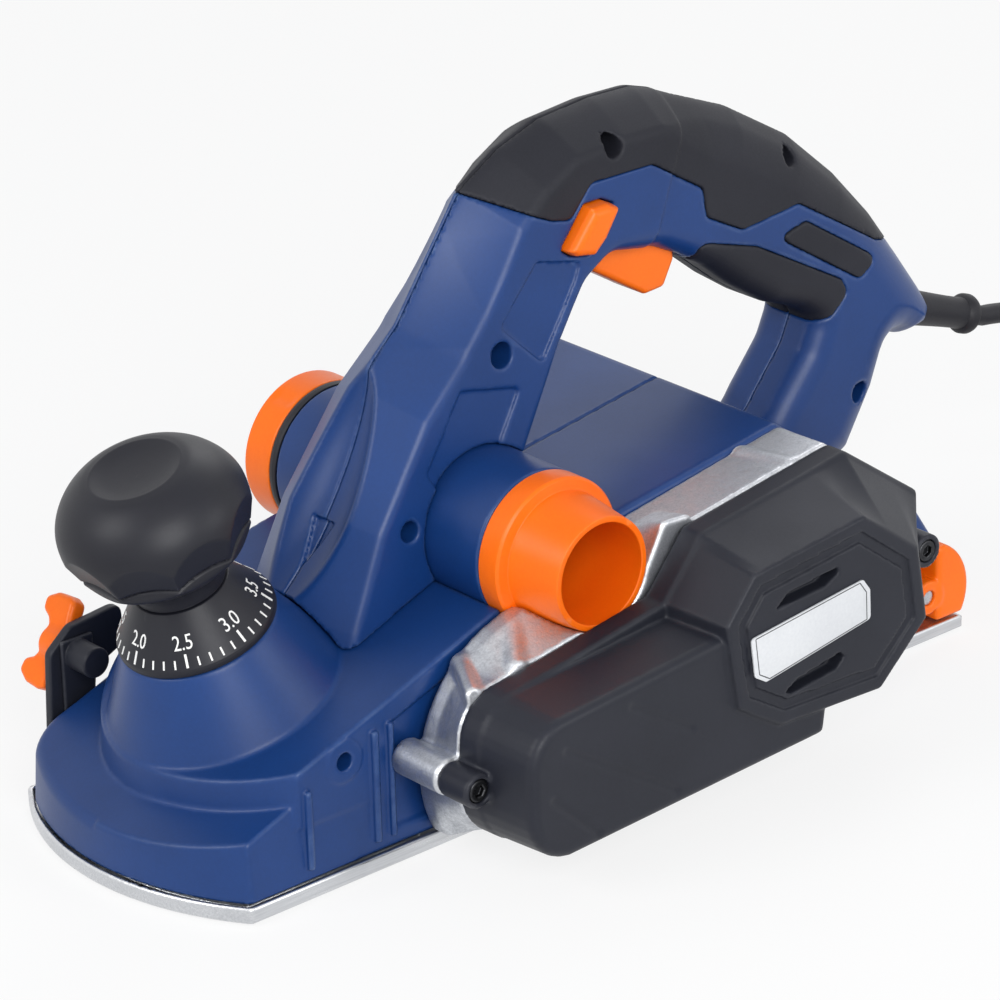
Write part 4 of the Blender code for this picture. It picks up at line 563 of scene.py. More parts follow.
def shifted(points, x, z):
    return [(a + x, b + z) for a, b in points]


def pointField(form, points):
    return np.broadcast_to(form(points[:, 0], points[:, 1], points[:, 2]), (len(points),))


def carve(form, low, high, step):
    step = step * gridSettings["coarse"]
    axes = [np.arange(a - 2.0 * step, b + 3.0 * step, step) for a, b in zip(low, high)]
    grid = form(axes[0][:, None, None], axes[1][None, :, None], axes[2][None, None, :])
    field = np.array(np.broadcast_to(grid, [len(axis) for axis in axes]), np.float32)
    field[field == 0.0] = 1e-6
    inside = field < 0.0
    corners = [(i, j, k) for i in (0, 1) for j in (0, 1) for k in (0, 1)]
    size = [count - 1 for count in field.shape]
    total = np.zeros(size, np.uint8)
    for i, j, k in corners:
        total += inside[i:i + size[0], j:j + size[1], k:k + size[2]]
    mixed = (total > 0) & (total < 8)
    cells = np.argwhere(mixed)
    number = np.full(size, -1, np.int64)
    number[mixed] = np.arange(len(cells))
    place = np.zeros((len(cells), 3))
    count = np.zeros(len(cells))
    for first in corners:
        for axis in range(3):
            if first[axis]:
                continue
            second = tuple(v + (1 if n == axis else 0) for n, v in enumerate(first))
            a = field[cells[:, 0] + first[0], cells[:, 1] + first[1], cells[:, 2] + first[2]]
            b = field[cells[:, 0] + second[0], cells[:, 1] + second[1], cells[:, 2] + second[2]]
            cross = (a < 0.0) != (b < 0.0)
            share = np.where(cross, a / np.where(cross, a - b, 1.0), 0.0)
            spot = np.array(first, float)[None, :] * cross[:, None]
            spot[:, axis] += share
            place += spot
            count += cross
    points = np.array([axis[0] for axis in axes]) + (cells + place / count[:, None]) * step
    for _ in range(3):
        value = pointField(form, points)
        slope = np.empty_like(points)
        for axis in range(3):
            moved = points.copy()
            moved[:, axis] += 0.04
            slope[:, axis] = (pointField(form, moved) - value) / 0.04
        size2 = np.maximum((slope ** 2).sum(1), 0.2)
        points = points - slope * (np.clip(value, -0.4 * step, 0.4 * step) / size2)[:, None]
    faces = []
    for axis in range(3):
        second, third = (axis + 1) % 3, (axis + 2) % 3
        near = [slice(None)] * 3
        far = [slice(None)] * 3
        near[axis], far[axis] = slice(0, -1), slice(1, None)
        for other in (second, third):
            near[other] = slice(1, -1)
            far[other] = slice(1, -1)
        a, b = inside[tuple(near)], inside[tuple(far)]
        spots = np.argwhere(a != b)
        outward = a[spots[:, 0], spots[:, 1], spots[:, 2]]
        quad = []
        for u, v in ((0, 0), (1, 0), (1, 1), (0, 1)):
            cell = spots.copy()
            cell[:, second] += u
            cell[:, third] += v
            quad.append(number[cell[:, 0], cell[:, 1], cell[:, 2]])
        quad = np.stack(quad, 1)
        quad[~outward] = quad[~outward][:, ::-1]
        faces.append(quad)
    return points, np.concatenate(faces)


def meshObject(name, points, faces, finish, smooth=True):
    mesh = bpy.data.meshes.new(name)
    mesh.from_pydata(
        [tuple(p) for p in np.asarray(points) * millimetre], [],
        [tuple(int(i) for i in face) for face in faces],
    )
    mesh.validate()
    if smooth:
        mesh.polygons.foreach_set("use_smooth", [True] * len(mesh.polygons))
    mesh.materials.append(finishes[finish])
    mesh.update()
    piece = bpy.data.objects.new(name, mesh)
    bpy.context.collection.objects.link(piece)
    return piece


def settle(piece, body, slotName, *nodes):
    if nodes:
        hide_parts(*nodes)
    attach(piece, body)
    bodyPieces.append(piece.name)
    return piece


def carved(name, form, low, high, step, finish):
    points, faces = carve(form, low, high, step)
    piece = meshObject(name, points, faces, finish)
    print("carved", name, len(faces) * 2, "triangles")
    return piece


def sharpEdges(piece, angle):
    mesh = piece.data
    shape = bmesh.new()
    shape.from_mesh(mesh)
    for edge in shape.edges:
        edge.smooth = not (len(edge.link_faces) == 2 and edge.calc_face_angle(0.0) > math.radians(angle))
    shape.to_mesh(mesh)
    shape.free()


def turnedPiece(name, profile, origin, axis, finish, steps=96, ripple=None):
    axis = np.array(axis, float) / np.linalg.norm(axis)
    side = np.cross(axis, (0.0, 1.0, 0.0))
    side = side / np.linalg.norm(side) if np.linalg.norm(side) > 0.1 else np.array((1.0, 0.0, 0.0))
    other = np.cross(axis, side)
    points, faces = [], []
    count = len(profile)
    for step in range(steps):
        turn = 2.0 * math.pi * step / steps
        way = side * math.cos(turn) + other * math.sin(turn)
        for radius, rise in profile:
            grow = ripple(radius, rise, turn) if ripple else 0.0
            points.append(np.array(origin) + axis * rise + way * (radius + grow if radius > 0.01 else 0.0))
    for step in range(steps):
        after = (step + 1) % steps
        for index in range(count):
            nextIndex = (index + 1) % count
            faces.append((
                step * count + index, step * count + nextIndex, after * count + nextIndex,
                after * count + index,
            ))
    piece = meshObject(name, points, faces, finish)
    shape = bmesh.new()
    shape.from_mesh(piece.data)
    bmesh.ops.remove_doubles(shape, verts=shape.verts, dist=1e-7)
    bmesh.ops.dissolve_degenerate(shape, edges=shape.edges, dist=1e-7)
    bmesh.ops.recalc_face_normals(shape, faces=shape.faces)
    shape.to_mesh(piece.data)
    shape.free()
    sharpEdges(piece, 38.0)
    return piece


# mains lead: strain relief, cord, storage coil, tie and plug, all one after the other
leadSettings = {
    "relief": (-174.5, 0.0, 89.5),
    "drop": 20.0,
    "reliefLength": 29.5,
    "cordRadius": 3.5,
    "route": [
        (-214.0, 0.0, 76.2), (-226.0, 0.0, 73.6), (-242.0, 0.0, 67.5), (-258.0, 0.0, 55.5), (-271.0, 0.0, 40.0),
        (-282.0, 0.0, 25.0), (-294.0, 0.0, 13.0), (-309.0, 0.0, 6.4),
    ],
    "coilCentre": (-330.0, 52.5),
    "coilLift": 1.3, "coilRadius": 52.5, "coilStep": 7.6, "coilRise": 7.6, "coilDip": 1.6, "coilTurns": 3, "coilPoints": 24, "tail": 12.0,
}


def smoothRoute(points, spacing):
    spots = [np.array(p, float) for p in points]
    spots = [spots[0] * 2.0 - spots[1], *spots, spots[-1] * 2.0 - spots[-2]]
    fine = []
    for a, b, c, d in zip(spots, spots[1:], spots[2:], spots[3:]):
        for i in range(8):
            t = i / 8.0
            fine.append(0.5 * (2.0 * b + (c - a) * t + (2.0 * a - 5.0 * b + 4.0 * c - d) * t ** 2 + (3.0 * b - a - 3.0 * c + d) * t ** 3))
    fine.append(spots[-2])
    line = np.array(fine)
    along = np.concatenate([[0.0], np.cumsum(np.linalg.norm(np.diff(line, axis=0), axis=1))])
    at = np.linspace(0.0, along[-1], max(2, int(round(along[-1] / spacing)) + 1))
    return np.stack([np.interp(at, along, line[:, k]) for k in range(3)], 1)


def tubePiece(name, line, radius, finish, sides=16):
    line = np.asarray(line, float)
    ways = np.gradient(line, axis=0)
    ways /= np.linalg.norm(ways, axis=1)[:, None]
    up = np.array((0.0, 1.0, 0.0)) if abs(ways[0][1]) < 0.9 else np.array((0.0, 0.0, 1.0))
    points, faces = [], []
    for spot, way in zip(line, ways):
        up = up - way * (up @ way)
        up /= np.linalg.norm(up)
        other = np.cross(way, up)
        for i in range(sides):
            turn = 2.0 * math.pi * i / sides
            points.append(spot + radius * (up * math.cos(turn) + other * math.sin(turn)))
    for ring in range(len(line) - 1):
        for i in range(sides):
            j = (i + 1) % sides
            faces.append((ring * sides + i, ring * sides + j, (ring + 1) * sides + j, (ring + 1) * sides + i))
    last = (len(line) - 1) * sides
    faces.append(tuple(reversed(range(sides))))
    faces.append(tuple(range(last, last + sides)))
    return meshObject(name, points, faces, finish)


def coilLine(settings):
    turns, pointsPerTurn = settings["coilTurns"], settings["coilPoints"]
    radius, step = settings["coilRadius"], settings["coilStep"]
    low = settings["cordRadius"] + settings["coilLift"]
    middle = settings["coilCentre"]
    total = 2.0 * turns + 0.5
    steps = int(total * pointsPerTurn)
    line = [(middle[0] + settings["tail"], 0.0, low)]
    for i in range(steps + 1):
        turn = total * i / steps
        share = min(1.0, max(0.0, (turn - turns) / 0.5))
        if turn <= turns:
            reach = radius - step * turn
        else:
            reach = radius - step * turns - settings["coilDip"] * math.sin(math.pi * share) + step * max(0.0, turn - turns - 0.5)
        height = low + settings["coilRise"] * (0.5 - 0.5 * math.cos(math.pi * share))
        angle = -math.pi / 2.0 - 2.0 * math.pi * turn
        line.append((middle[0] + reach * math.cos(angle), middle[1] + reach * math.sin(angle), height))
    line.append((line[-1][0] + settings["tail"], line[-1][1], line[-1][2]))
    return np.array(line)


def makeLead(settings):
    drop = math.radians(settings["drop"])
    way = np.array((-math.cos(drop), 0.0, -math.sin(drop)))
    relief = np.array(settings["relief"])
    tip = relief + way * settings["reliefLength"]
    coil = coilLine(settings)
    first = tip + way * 0.3
    lead = first + way * 2.0 * settings["cordRadius"]
    last = coil[0] + (0.3, 0.0, 0.0)
    before = last + (2.0 * settings["cordRadius"], 0.0, 0.0)
    route = smoothRoute([lead, *settings["route"], before], 4.0)
    wound = smoothRoute(coil[1:-1], 4.0)
    line = np.concatenate([[tip - way * 1.0, first], route, [last], wound, [coil[-1]]])
    cord = tubePiece("mainsLead", line, settings["cordRadius"], "leadRubber")

    # tapered bend sleeve with a collar at its tip
    profile = [
        (0.0, 29.5), (5.4, 29.5), (6.5, 29.1), (6.9, 28.2), (6.9, 26.4), (6.4, 25.4), (5.5, 24.6), (5.35, 22.0), (5.4, 17.0), (5.6, 11.0), (5.85, 5.0),
        (6.1, 0.0), (6.1, -12.0), (0.0, -12.0),
    ]
    sleeve = turnedPiece("bendSleeve", profile, relief, way, "leadRubber", 64)
    settle(sleeve, "body", "black_rubber", "strain_relief")

    # strap that holds the coil
    inner, outer = 18.6, 56.9
    low, high = 0.55, 16.5
    corner = softCorners([(inner, low), (outer, low), (outer, high), (inner, high)], 3.0, 5)
    turn = math.radians(200.0)
    points, faces = [], []
    for grow, half in ((0.0, 6.0), (1.0, 6.0), (1.0, -6.0), (0.0, -6.0)):
        for a, b in corner:
            away = np.array((a - (inner + outer) / 2.0, b - (low + high) / 2.0))
            scale = 1.0 + grow / np.maximum(np.abs(away), 6.0)
            u, v = (away * scale) + ((inner + outer) / 2.0, (low + high) / 2.0)
            v = max(v, 0.25)
            points.append((
                settings["coilCentre"][0] + u * math.cos(turn) - half * math.sin(turn),
                settings["coilCentre"][1] + u * math.sin(turn) + half * math.cos(turn), v,
            ))
    count = len(corner)
    for ring in range(4):
        for i in range(count):
            j = (i + 1) % count
            faces.append((
                ring * count + i, ring * count + j, ((ring + 1) % 4) * count + j, ((ring + 1) % 4) * count + i,
            ))
    strap = meshObject("coilStrap", points, faces, "leadRubber")
    shape = bmesh.new()
    shape.from_mesh(strap.data)
    bmesh.ops.recalc_face_normals(shape, faces=shape.faces)
    shape.to_mesh(strap.data)
    shape.free()
    sharpEdges(strap, 40.0)
    settle(strap, "body", "black_plastic", "coil_tie")

    # two-pin plug, flat oval body with finger dips
    start = coil[-1] + (0.3, 0.0, 0.0)

    def plugForm(x, y, z):
        along = x - start[0]
        wide = np.interp(np.clip(along, 0, 54), [0, 14, 28, 44, 54], [4.6, 7.6, 17.4, 17.4, 15.6])
        deep = np.interp(np.clip(along, 0, 54), [0, 14, 28, 44, 54], [4.6, 7.4, 12.0, 12.0, 10.8])
        cross = np.hypot((y - start[1]) / wide, (z - start[2]) / deep)
        body = (cross - 1.0) * deep * 0.85
        body = roundMax(body, slab(along, 0.0, 54.0), 1.2)
        for side in (-1.0, 1.0):
            dip = np.sqrt((along - 36.0) ** 2 / 1.6 + ((z - start[2]) * 0.9) ** 2 + (y - start[1] - side * 24.0) ** 2) - 8.8
            body = roundMax(body, -dip, 1.0)
            pin = np.hypot(y - start[1] - side * 9.5, z - start[2]) - 2.5
            body = np.maximum(body, -np.maximum(pin, 46.0 - along))
        grooves = np.abs(np.mod(along - 1.0, 2.8) - 1.4) - 0.5
        body = roundMax(
            body,
            -np.maximum(np.maximum(grooves, slab(along, 1.5, 13.0)), 0.7 - (cross - 1.0) * deep * 0.85 - 1.3),
            0.2,
        )
        return body

    plug = carved("plugBody", plugForm, start + (-1, -19, -13), start + (55, 19, 13), 0.7, "blackPlastic")
    settle(plug, "body", "black_plastic", "plug_body")
    for index, side in enumerate((1.0, -1.0)):
        spot = (start[0], start[1] + side * 9.5, start[2])
        outline = [(0.0, 46.3), (2.4, 46.3), (2.4, 71.0), (1.9, 72.6), (1.0, 73.0), (0.0, 73.0)]
        pin = turnedPiece("plugPin" + str(index + 1), outline, spot, (1.0, 0.0, 0.0), "brightSteel", 24)
        settle(pin, "body", "bright_steel", "plug_pin_" + str(index + 1))
    settle(cord, "body", "black_rubber", "cord", "cord_coil")


makeLead(leadSettings)

# clamshell handle and its black grip panels, both halves from one form
handleSettings = {
    "outline": [
        (112, 42), (110, 48), (104, 68), (90, 98), (67, 130.5), (50, 146), (24, 183), (8, 193), (-9, 199), (-30, 200.8), (-48, 200.3), (-57, 197.5),
        (-66, 193.5), (-89, 184), (-115.5, 168), (-136, 150), (-152, 132.5), (-165, 115), (-175, 101), (-179.5, 94), (-175.5, 83),
        (-165, 81), (-157, 85), (-151, 70), (-138, 49), (-120, 40), (-60, 45), (20, 45),
    ],
    "hole": [
        (29.5, 73.4), (18.9, 99.7), (1.1, 131.3), (-12, 149), (-24, 154), (-48, 147.5), (-58, 142.5), (-70, 135.5),
        (-83, 125), (-97, 115.5), (-111, 110), (-118, 105), (-113, 94), (-101, 80), (-96, 73.4),
    ],
    "gripEdge": [
        (60, 230), (60, 203), (25, 182.5), (1.4, 171.5), (-6.4, 169.7), (-15.4, 179.5), (-40.9, 179.2), (-64.7, 164.5), (-66.3, 154.3),
        (-82, 146), (-106.9, 148.5), (-144.4, 125.4), (-166, 117), (-200, 125), (-200, 230),
    ],
    "lowerEdge": [
        (-64, 146), (-88, 138.5), (-126, 117), (-129, 112), (-122, 105), (-108, 100), (-84, 112), (-64, 128),
    ],
    "inset": [(-97.9, 138.8), (-110, 141.4), (-142.5, 120.3), (-134.7, 115)],
    "upperPanel": [(8.5, 160.0), (-9.5, 155.5), (-7.0, 150.0), (9.0, 127.7), (24.7, 143.0)],
    "lowerPanel": [(42.3, 127.7), (18.7, 122.3), (30.0, 104.0), (52.0, 95.0), (58.0, 105.0)],
    "screws": [
        (25.2, 134.5, 4.2), (-25.2, 188.6, 3.6), (66.6, 89.2, 3.4), (-135.0, 74.5, 3.8), (-106.0, 163.4, 3.0),
    ],
    "trigger": [(4, 4), (2.5, -6), (-19, -19.5), (-27, -19), (-31.5, -10.5), (-31, -4.5), (-23, 3), (-4, 6.5)],
    "triggerPivot": (-28.0, 150.5),
    "button": [(11.5, -4.5), (8, -7), (0.5, -8.5), (-4.5, -4), (-10.5, 5), (-5.5, 7.5), (1.5, 7.5)],
    "buttonCentre": (-13.5, 165.5),
    "step": 0.95,
}
knobAxis = np.array((math.sin(math.radians(19.5)), 0.0, math.cos(math.radians(19.5))))
knobAcross = np.array((math.cos(math.radians(19.5)), 0.0, -math.sin(math.radians(19.5))))
knobPoint = np.array((131.1, 0.0, 71.4))
domePoint = knobPoint - knobAxis * 25.3 - knobAcross * 37.6
ductSpot = (36.0, 82.7)
drumSpot = (50.0, 28.0)
motorSpot = (-38.0, 50.0)
stopSpot = (137.0, 45.0)
footSpot = (-127.2, 15.2)
ductOrigin = (ductSpot[0], 0.0, ductSpot[1])
acrossBody = (0.0, 1.0, 0.0)


def alongKnob(x, z, point):
    return (x - point[0]) * knobAxis[0] + (z - point[2]) * knobAxis[2]


def acrossKnob(x, z, point):
    return (x - point[0]) * knobAcross[0] + (z - point[2]) * knobAcross[2]


def coneForm(x, y, z, grow=0.0):
    rise = alongKnob(x, z, knobPoint)
    reach = np.hypot(acrossKnob(x, z, knobPoint), y)
    return (reach - (24.6 + (-0.3 - rise) * 12.7 / 25.0) - grow) * 0.8915


def handleHalf(x, z):
    rise = np.clip((z - 60.0) / 118.0, 0.0, 1.0)
    column = 26.0 - 8.0 * rise
    back = np.clip((x + 40.0) / 40.0, 0.0, 1.0)
    block = (x + 55.0) + 0.35 * (z - 190.0)
    grip = 18.4 - 2.4 * np.clip(-block / 2.5, 0.0, 1.0)
    return grip + (column - grip) * back


outlineSoft = softCorners(handleSettings["outline"], 9.0, 4)
holeSoft = softCorners(handleSettings["hole"], 12.0, 4)
gripSoft = softCorners(handleSettings["gripEdge"], 3.0, 3)
lowerSoft = softCorners(handleSettings["lowerEdge"], 3.0, 3)


def handleForm(x, y, z):
    outer = outlineDistance(outlineSoft, x, z)
    hole = outlineDistance(holeSoft, x, z)
    half = handleHalf(x, z)
    column = np.clip((x + 10.0) / 40.0, 0.0, 1.0)
    fall = 12.5 + 2.0 * column + 6.0 * column * np.clip((z - 140.0) / 30.0, 0.0, 1.0)
    soft = 1.0 + 4.5 * (1.0 - column)
    prow = np.sqrt(y * y + soft * soft) - 0.55 * soft
    facet = (outer * half + prow * fall) / np.hypot(half, fall)
    side = np.abs(y) - half
    body = roundMax(facet, side, 1.6 + 5.0 * np.clip((-50.0 - x) / 20.0, 0.0, 1.0))
    body = np.maximum(body, outer)
    edge = 2.6 + 6.4 * np.clip((-14.0 - x) / 30.0, 0.0, 1.0)
    return roundMax(body, -hole, edge)


def leafForm(x, y, z):
    # finger scoop down the front of the column
    along = (x - 84.0) * -0.54 + (z - 100.5) * 0.842
    out = (x - 84.0) * 0.842 + (z - 100.5) * 0.54
    wide = 20.0 - 0.14 * along
    return (np.sqrt((along / 47.0) ** 2 + (y / wide) ** 2 + ((out - 7.0) / 15.5) ** 2) - 1.0) * 10.0


def screwWells(x, y, z):
    wells = None
    for a, b, radius in handleSettings["screws"]:
        well = np.maximum(awayFrom((a, b), x, z) - radius, 5.8 - y)
        wells = well if wells is None else np.minimum(wells, well)
    return wells


def triggerGap(x, y, z):
    spot = handleSettings["triggerPivot"]
    reach = None
    for swing in (0.0, 3.5, 7.0):
        turn = math.radians(swing)
        points = [(
            a * math.cos(turn) + b * math.sin(turn), b * math.cos(turn) - a * math.sin(turn),
        ) for a, b in handleSettings["trigger"]]
        gap = outlineDistance(shifted(points, *spot), x, z) - 1.5
        reach = gap if reach is None else np.minimum(reach, gap)
    return np.maximum(reach, np.abs(y) - 8.7)


def buttonGap(x, y, z):
    return np.maximum(
        outlineDistance(shifted(handleSettings["button"], *handleSettings["buttonCentre"]), x, z) - 0.45,
        8.0 - y,
    )


def handleShell(x, y, z):
    body = handleForm(x, y, z)
    body = roundMax(body, -leafForm(x, y, z), 0.8)
    half = handleHalf(x, z)
    for panel in ("upperPanel", "lowerPanel"):
        cut = np.maximum(
            outlineDistance(softCorners(handleSettings[panel], 1.5, 2), x, z), half - 1.3 - np.abs(y),
        )
        body = roundMax(body, -cut, 0.7)
    along = (x - 84.0) * -0.54 + (z - 100.5) * 0.842
    arrow = np.maximum(
        np.maximum((np.abs(y) - 5.0 * (along + 23.6) / 17.1) * 0.95, along + 6.5), leafForm(x, y, z) - 1.1,
    )
    return roundMax(body, -arrow, 0.25)


def commonCuts(x, y, z, body):
    floor = np.maximum(alongKnob(x, z, domePoint) - 0.3, 29.7 - x)
    body = roundMax(body, -floor, 0.5)
    body = np.maximum(body, -np.maximum(coneForm(x, y, z, 0.6), alongKnob(x, z, knobPoint) - 0.5))
    reach = np.hypot(acrossKnob(x, z, knobPoint), y)
    body = np.maximum(body, -np.maximum(reach - 26.4, -1.0 - alongKnob(x, z, knobPoint)))
    body = roundMax(body, -(awayFrom(ductSpot, x, z) - 25.0), 0.5)
    body = np.maximum(body, -(awayFrom(drumSpot, x, z) - 32.0))
    relief = np.array(leadSettings["relief"])
    drop = math.radians(leadSettings["drop"])
    along = (x - relief[0]) * -math.cos(drop) + (z - relief[2]) * -math.sin(drop)
    away = np.hypot((x - relief[0]) * math.sin(drop) - (z - relief[2]) * math.cos(drop), y)
    body = np.maximum(body, -np.maximum(away - 6.5, -14.0 - along))
    body = roundMax(body, along, 1.0)
    body = np.maximum(body, -triggerGap(x, y, z))
    body = roundMax(body, -buttonGap(x, y, z), 0.5)
    return roundMax(body, -screwWells(x, y, z), 0.6)


motorSettings = {
    "outline": [(29.7, 13), (29.7, 85.2), (-58, 97.8), (-91.5, 74.5), (-97, 36), (-84, 13)],
    "rear": [(-88, 4.8), (-88, 70), (-121, 54), (-136, 31), (-140, 16), (-140, 4.8)],
    "right": -54.0, "left": 56.0, "rearHalf": 53.0, "step": 1.15,
    "ventPitch": 11.0, "ventWidth": 4.5, "ventHalf": 13.0, "ventCount": 5,
}


def motorOutside(x, y, z):
    outline = outlineDistance(motorSettings["outline"], x, z)
    case = roundMax(outline, slab(y, motorSettings["right"], motorSettings["left"]), 2.2)
    rear = roundMax(
        outlineDistance(softCorners(motorSettings["rear"], 4.0, 3), x, z),
        np.abs(y) - motorSettings["rearHalf"], 5.0,
    )
    return roundMin(case, rear, 1.5)


def motorCase(x, y, z):
    body = motorOutside(x, y, z)
    cavity = roundMax(awayFrom(motorSpot, x, z) - 35.0, slab(y, -51.0, 53.0), 1.0)
    body = np.maximum(body, -cavity)
    body = np.maximum(body, -np.maximum(awayFrom(motorSpot, x, z) - 15.0, 28.0 - y))
    body = roundMax(body, -(awayFrom(ductSpot, x, z) - 25.0), 0.5)
    body = np.maximum(body, -(awayFrom(drumSpot, x, z) - 32.0))
    for index in range(motorSettings["ventCount"]):
        middle = motorSpot[0] + (index - (motorSettings["ventCount"] - 1) / 2.0) * motorSettings["ventPitch"]
        wide, tall = motorSettings["ventWidth"] / 2.0, motorSettings["ventHalf"]
        low = (middle - wide, -90.0, motorSpot[1] - tall)
        slot = blockForm(x, y, z, low, (middle + wide, -46.0, motorSpot[1] + tall), 2.0)
        body = roundMax(body, -slot, 0.6)
    pocket = np.maximum(awayFrom(footSpot, x, z) - 19.4, 19.7 - y)
    toe = blockForm(x, y, z, (-131.2, 27.2, -40.0), (-104.4, 48.8, 15.2))
    body = np.maximum(body, -np.minimum(pocket, toe))
    well = np.maximum(np.hypot(x + 20.0, z - 13.0) - 6.0, 50.0 - y)
    return np.maximum(body, -well)


def halfOf(form, side):
    return lambda x, y, z: roundMax(form(x, y, z), 0.14 - y * side, 0.45)


def blueHandle(x, y, z):
    body = commonCuts(x, y, z, handleShell(x, y, z))
    body = np.maximum(body, -(motorOutside(x, y, z) - 0.05))
    body = roundMax(body, -(outlineDistance(gripSoft, x, z) - 0.22), 0.45)
    body = roundMax(body, -(outlineDistance(lowerSoft, x, z) - 0.22), 0.45)
    inset = np.maximum(
        outlineDistance(softCorners(handleSettings["inset"], 3.0, 3), x, z) - 0.22, 9.0 - np.abs(y),
    )
    return roundMax(body, -inset, 0.4)


def topGrip(x, y, z):
    body = commonCuts(x, y, z, handleForm(x, y, z) - 0.25)
    above = outlineDistance(gripSoft, x, z)
    inset = np.maximum(outlineDistance(softCorners(handleSettings["inset"], 3.0, 3), x, z), 9.0 - np.abs(y))
    return roundMax(body, np.minimum(above, inset), 0.5)


def lowerGrip(x, y, z):
    body = commonCuts(x, y, z, handleForm(x, y, z) - 0.2)
    return roundMax(body, outlineDistance(lowerSoft, x, z), 0.5)


def makeHandle():
    step = handleSettings["step"]
    for label, side, shell, grip, lower in (
        ("Left", 1.0, "shell_left", "grip_left", "lower_grip_left"),
        ("Right", -1.0, "shell_right", "grip_right", "lower_grip_right"),
    ):
        near, far = (0.0, 28.0) if side > 0 else (-28.0, 0.0)
        bow = carved(
            "handleBow" + label, halfOf(blueHandle, side), (-182, near, 40), (114, far, 203), step,
            "bluePlastic",
        )
        settle(bow, "body", "blue_plastic", shell)
        near, far = (0.0, 57.0) if side > 0 else (-55.0, 0.0)
        case = carved(
            "motorCase" + label, halfOf(motorCase, side), (-141, near, 3), (31, far, 99), motorSettings["step"],
            "bluePlastic",
        )
        settle(case, "body", "blue_plastic")
        near, far = (0.0, 20.0) if side > 0 else (-20.0, 0.0)
        top = carved(
            "gripPanel" + label, halfOf(topGrip, side), (-182, near, 112), (62, far, 203), step, "softGrip",
        )
        settle(top, "body", "soft_grip", grip)
        pad = carved(
            "fingerPad" + label, halfOf(lowerGrip, side), (-131, near, 98), (-62, far, 148), step, "softGrip",
        )
        settle(pad, "body", "soft_grip", lower)


makeHandle()
print("handle ready")

# front housing: outer wall, rim, dome and the cone that carries the dial
frontSettings = {
    "arcCentre": 80.4, "arcRadius": 94.0, "half": 54.0, "rear": 46.0, "foot": 6.3,
    "domeRadius": 78.7, "rimDrop": 9.2, "lug": (120.0, 40.6, 7.0), "step": 0.95,
    "ribs": [(101.6, 103.4, 10.0, 48.0), (107.4, 109.8, 10.0, 47.0), (133.6, 135.8, 10.0, 36.0)],
}


def frontForm(x, y, z):
    settings = frontSettings
    arc = np.hypot(x - settings["arcCentre"], y) - settings["arcRadius"]
    corner = np.where(y > 0.0, 1.0, 9.0)
    plan = roundMax(np.where(x > settings["arcCentre"], arc, x - 400.0), np.abs(y) - settings["half"], corner)
    lean = (z - 12.0) * 0.07
    wall = roundMax(
        plan + np.where(x > 100.0, lean * np.clip((x - 100.0) / 40.0, 0.0, 1.0), 0.0), settings["foot"] - z,
        0.6,
    )
    wall = np.maximum(wall, settings["rear"] - x)
    top = alongKnob(x, z, domePoint)
    body = roundMax(wall, top + settings["rimDrop"], np.where(y > 0.0, 0.9, 2.5))
    reach = np.hypot(acrossKnob(x, z, domePoint), y * np.where(y > 0.0, 1.0, 1.35))
    dome = roundMax((reach - settings["domeRadius"] + 0.34 * (top + 9.2)) * 0.95, top, 0.9)
    dome = roundMax(np.maximum(dome, settings["rear"] - x), np.abs(y) - settings["half"] + 0.1, 0.8)
    dome = np.maximum(dome, 24.0 - z)
    body = roundMin(body, dome, 0.8)
    cone = roundMax(coneForm(x, y, z), alongKnob(x, z, knobPoint) + 0.3, 0.9)
    cone = np.maximum(cone, -(alongKnob(x, z, knobPoint) + 34.0))
    body = roundMin(body, cone, 0.9)
    hollow = np.maximum(np.maximum(plan + 3.0, 86.0 - x), top + settings["rimDrop"] + 3.0)
    body = np.maximum(body, -hollow)
    a, b, radius = settings["lug"]
    lug = roundMax(awayFrom((a, b), x, z) - radius, slab(y, 34.0, 54.4), 0.5)
    body = roundMin(body, lug, 0.6)
    recess = np.maximum(
        outlineDistance([(46.0, 12.0), (101.0, 12.0), (101.0, 47.0), (46.0, 66.0)], x, z), 52.7 - y,
    )
    body = roundMax(body, -recess, 0.3)
    for low, high, bottom, upper in settings["ribs"]:
        body = roundMin(body, blockForm(x, y, z, (low, 50.0, bottom), (high, 55.8, upper), 0.4), 0.2)
    body = roundMax(body, -np.maximum(awayFrom((a, b), x, z) - 2.9, 44.0 - y), 0.3)
    body = np.maximum(body, -(awayFrom(drumSpot, x, z) - 32.0))
    body = roundMax(body, -(awayFrom(ductSpot, x, z) - 25.0), 0.5)
    rise = alongKnob(x, z, knobPoint)
    away = np.hypot(acrossKnob(x, z, knobPoint), y)
    body = np.maximum(body, -np.maximum(away - 16.0, rise + 6.0))
    body = np.maximum(body, -(away - 4.8))
    return np.maximum(body, -np.maximum(awayFrom(stopSpot, x, z) - 2.9, y + 48.0))


front = carved("frontHousing", frontForm, (45, -57, 5), (177, 57, 80), frontSettings["step"], "bluePlastic")
settle(front, "body", "blue_plastic", "front_housing")

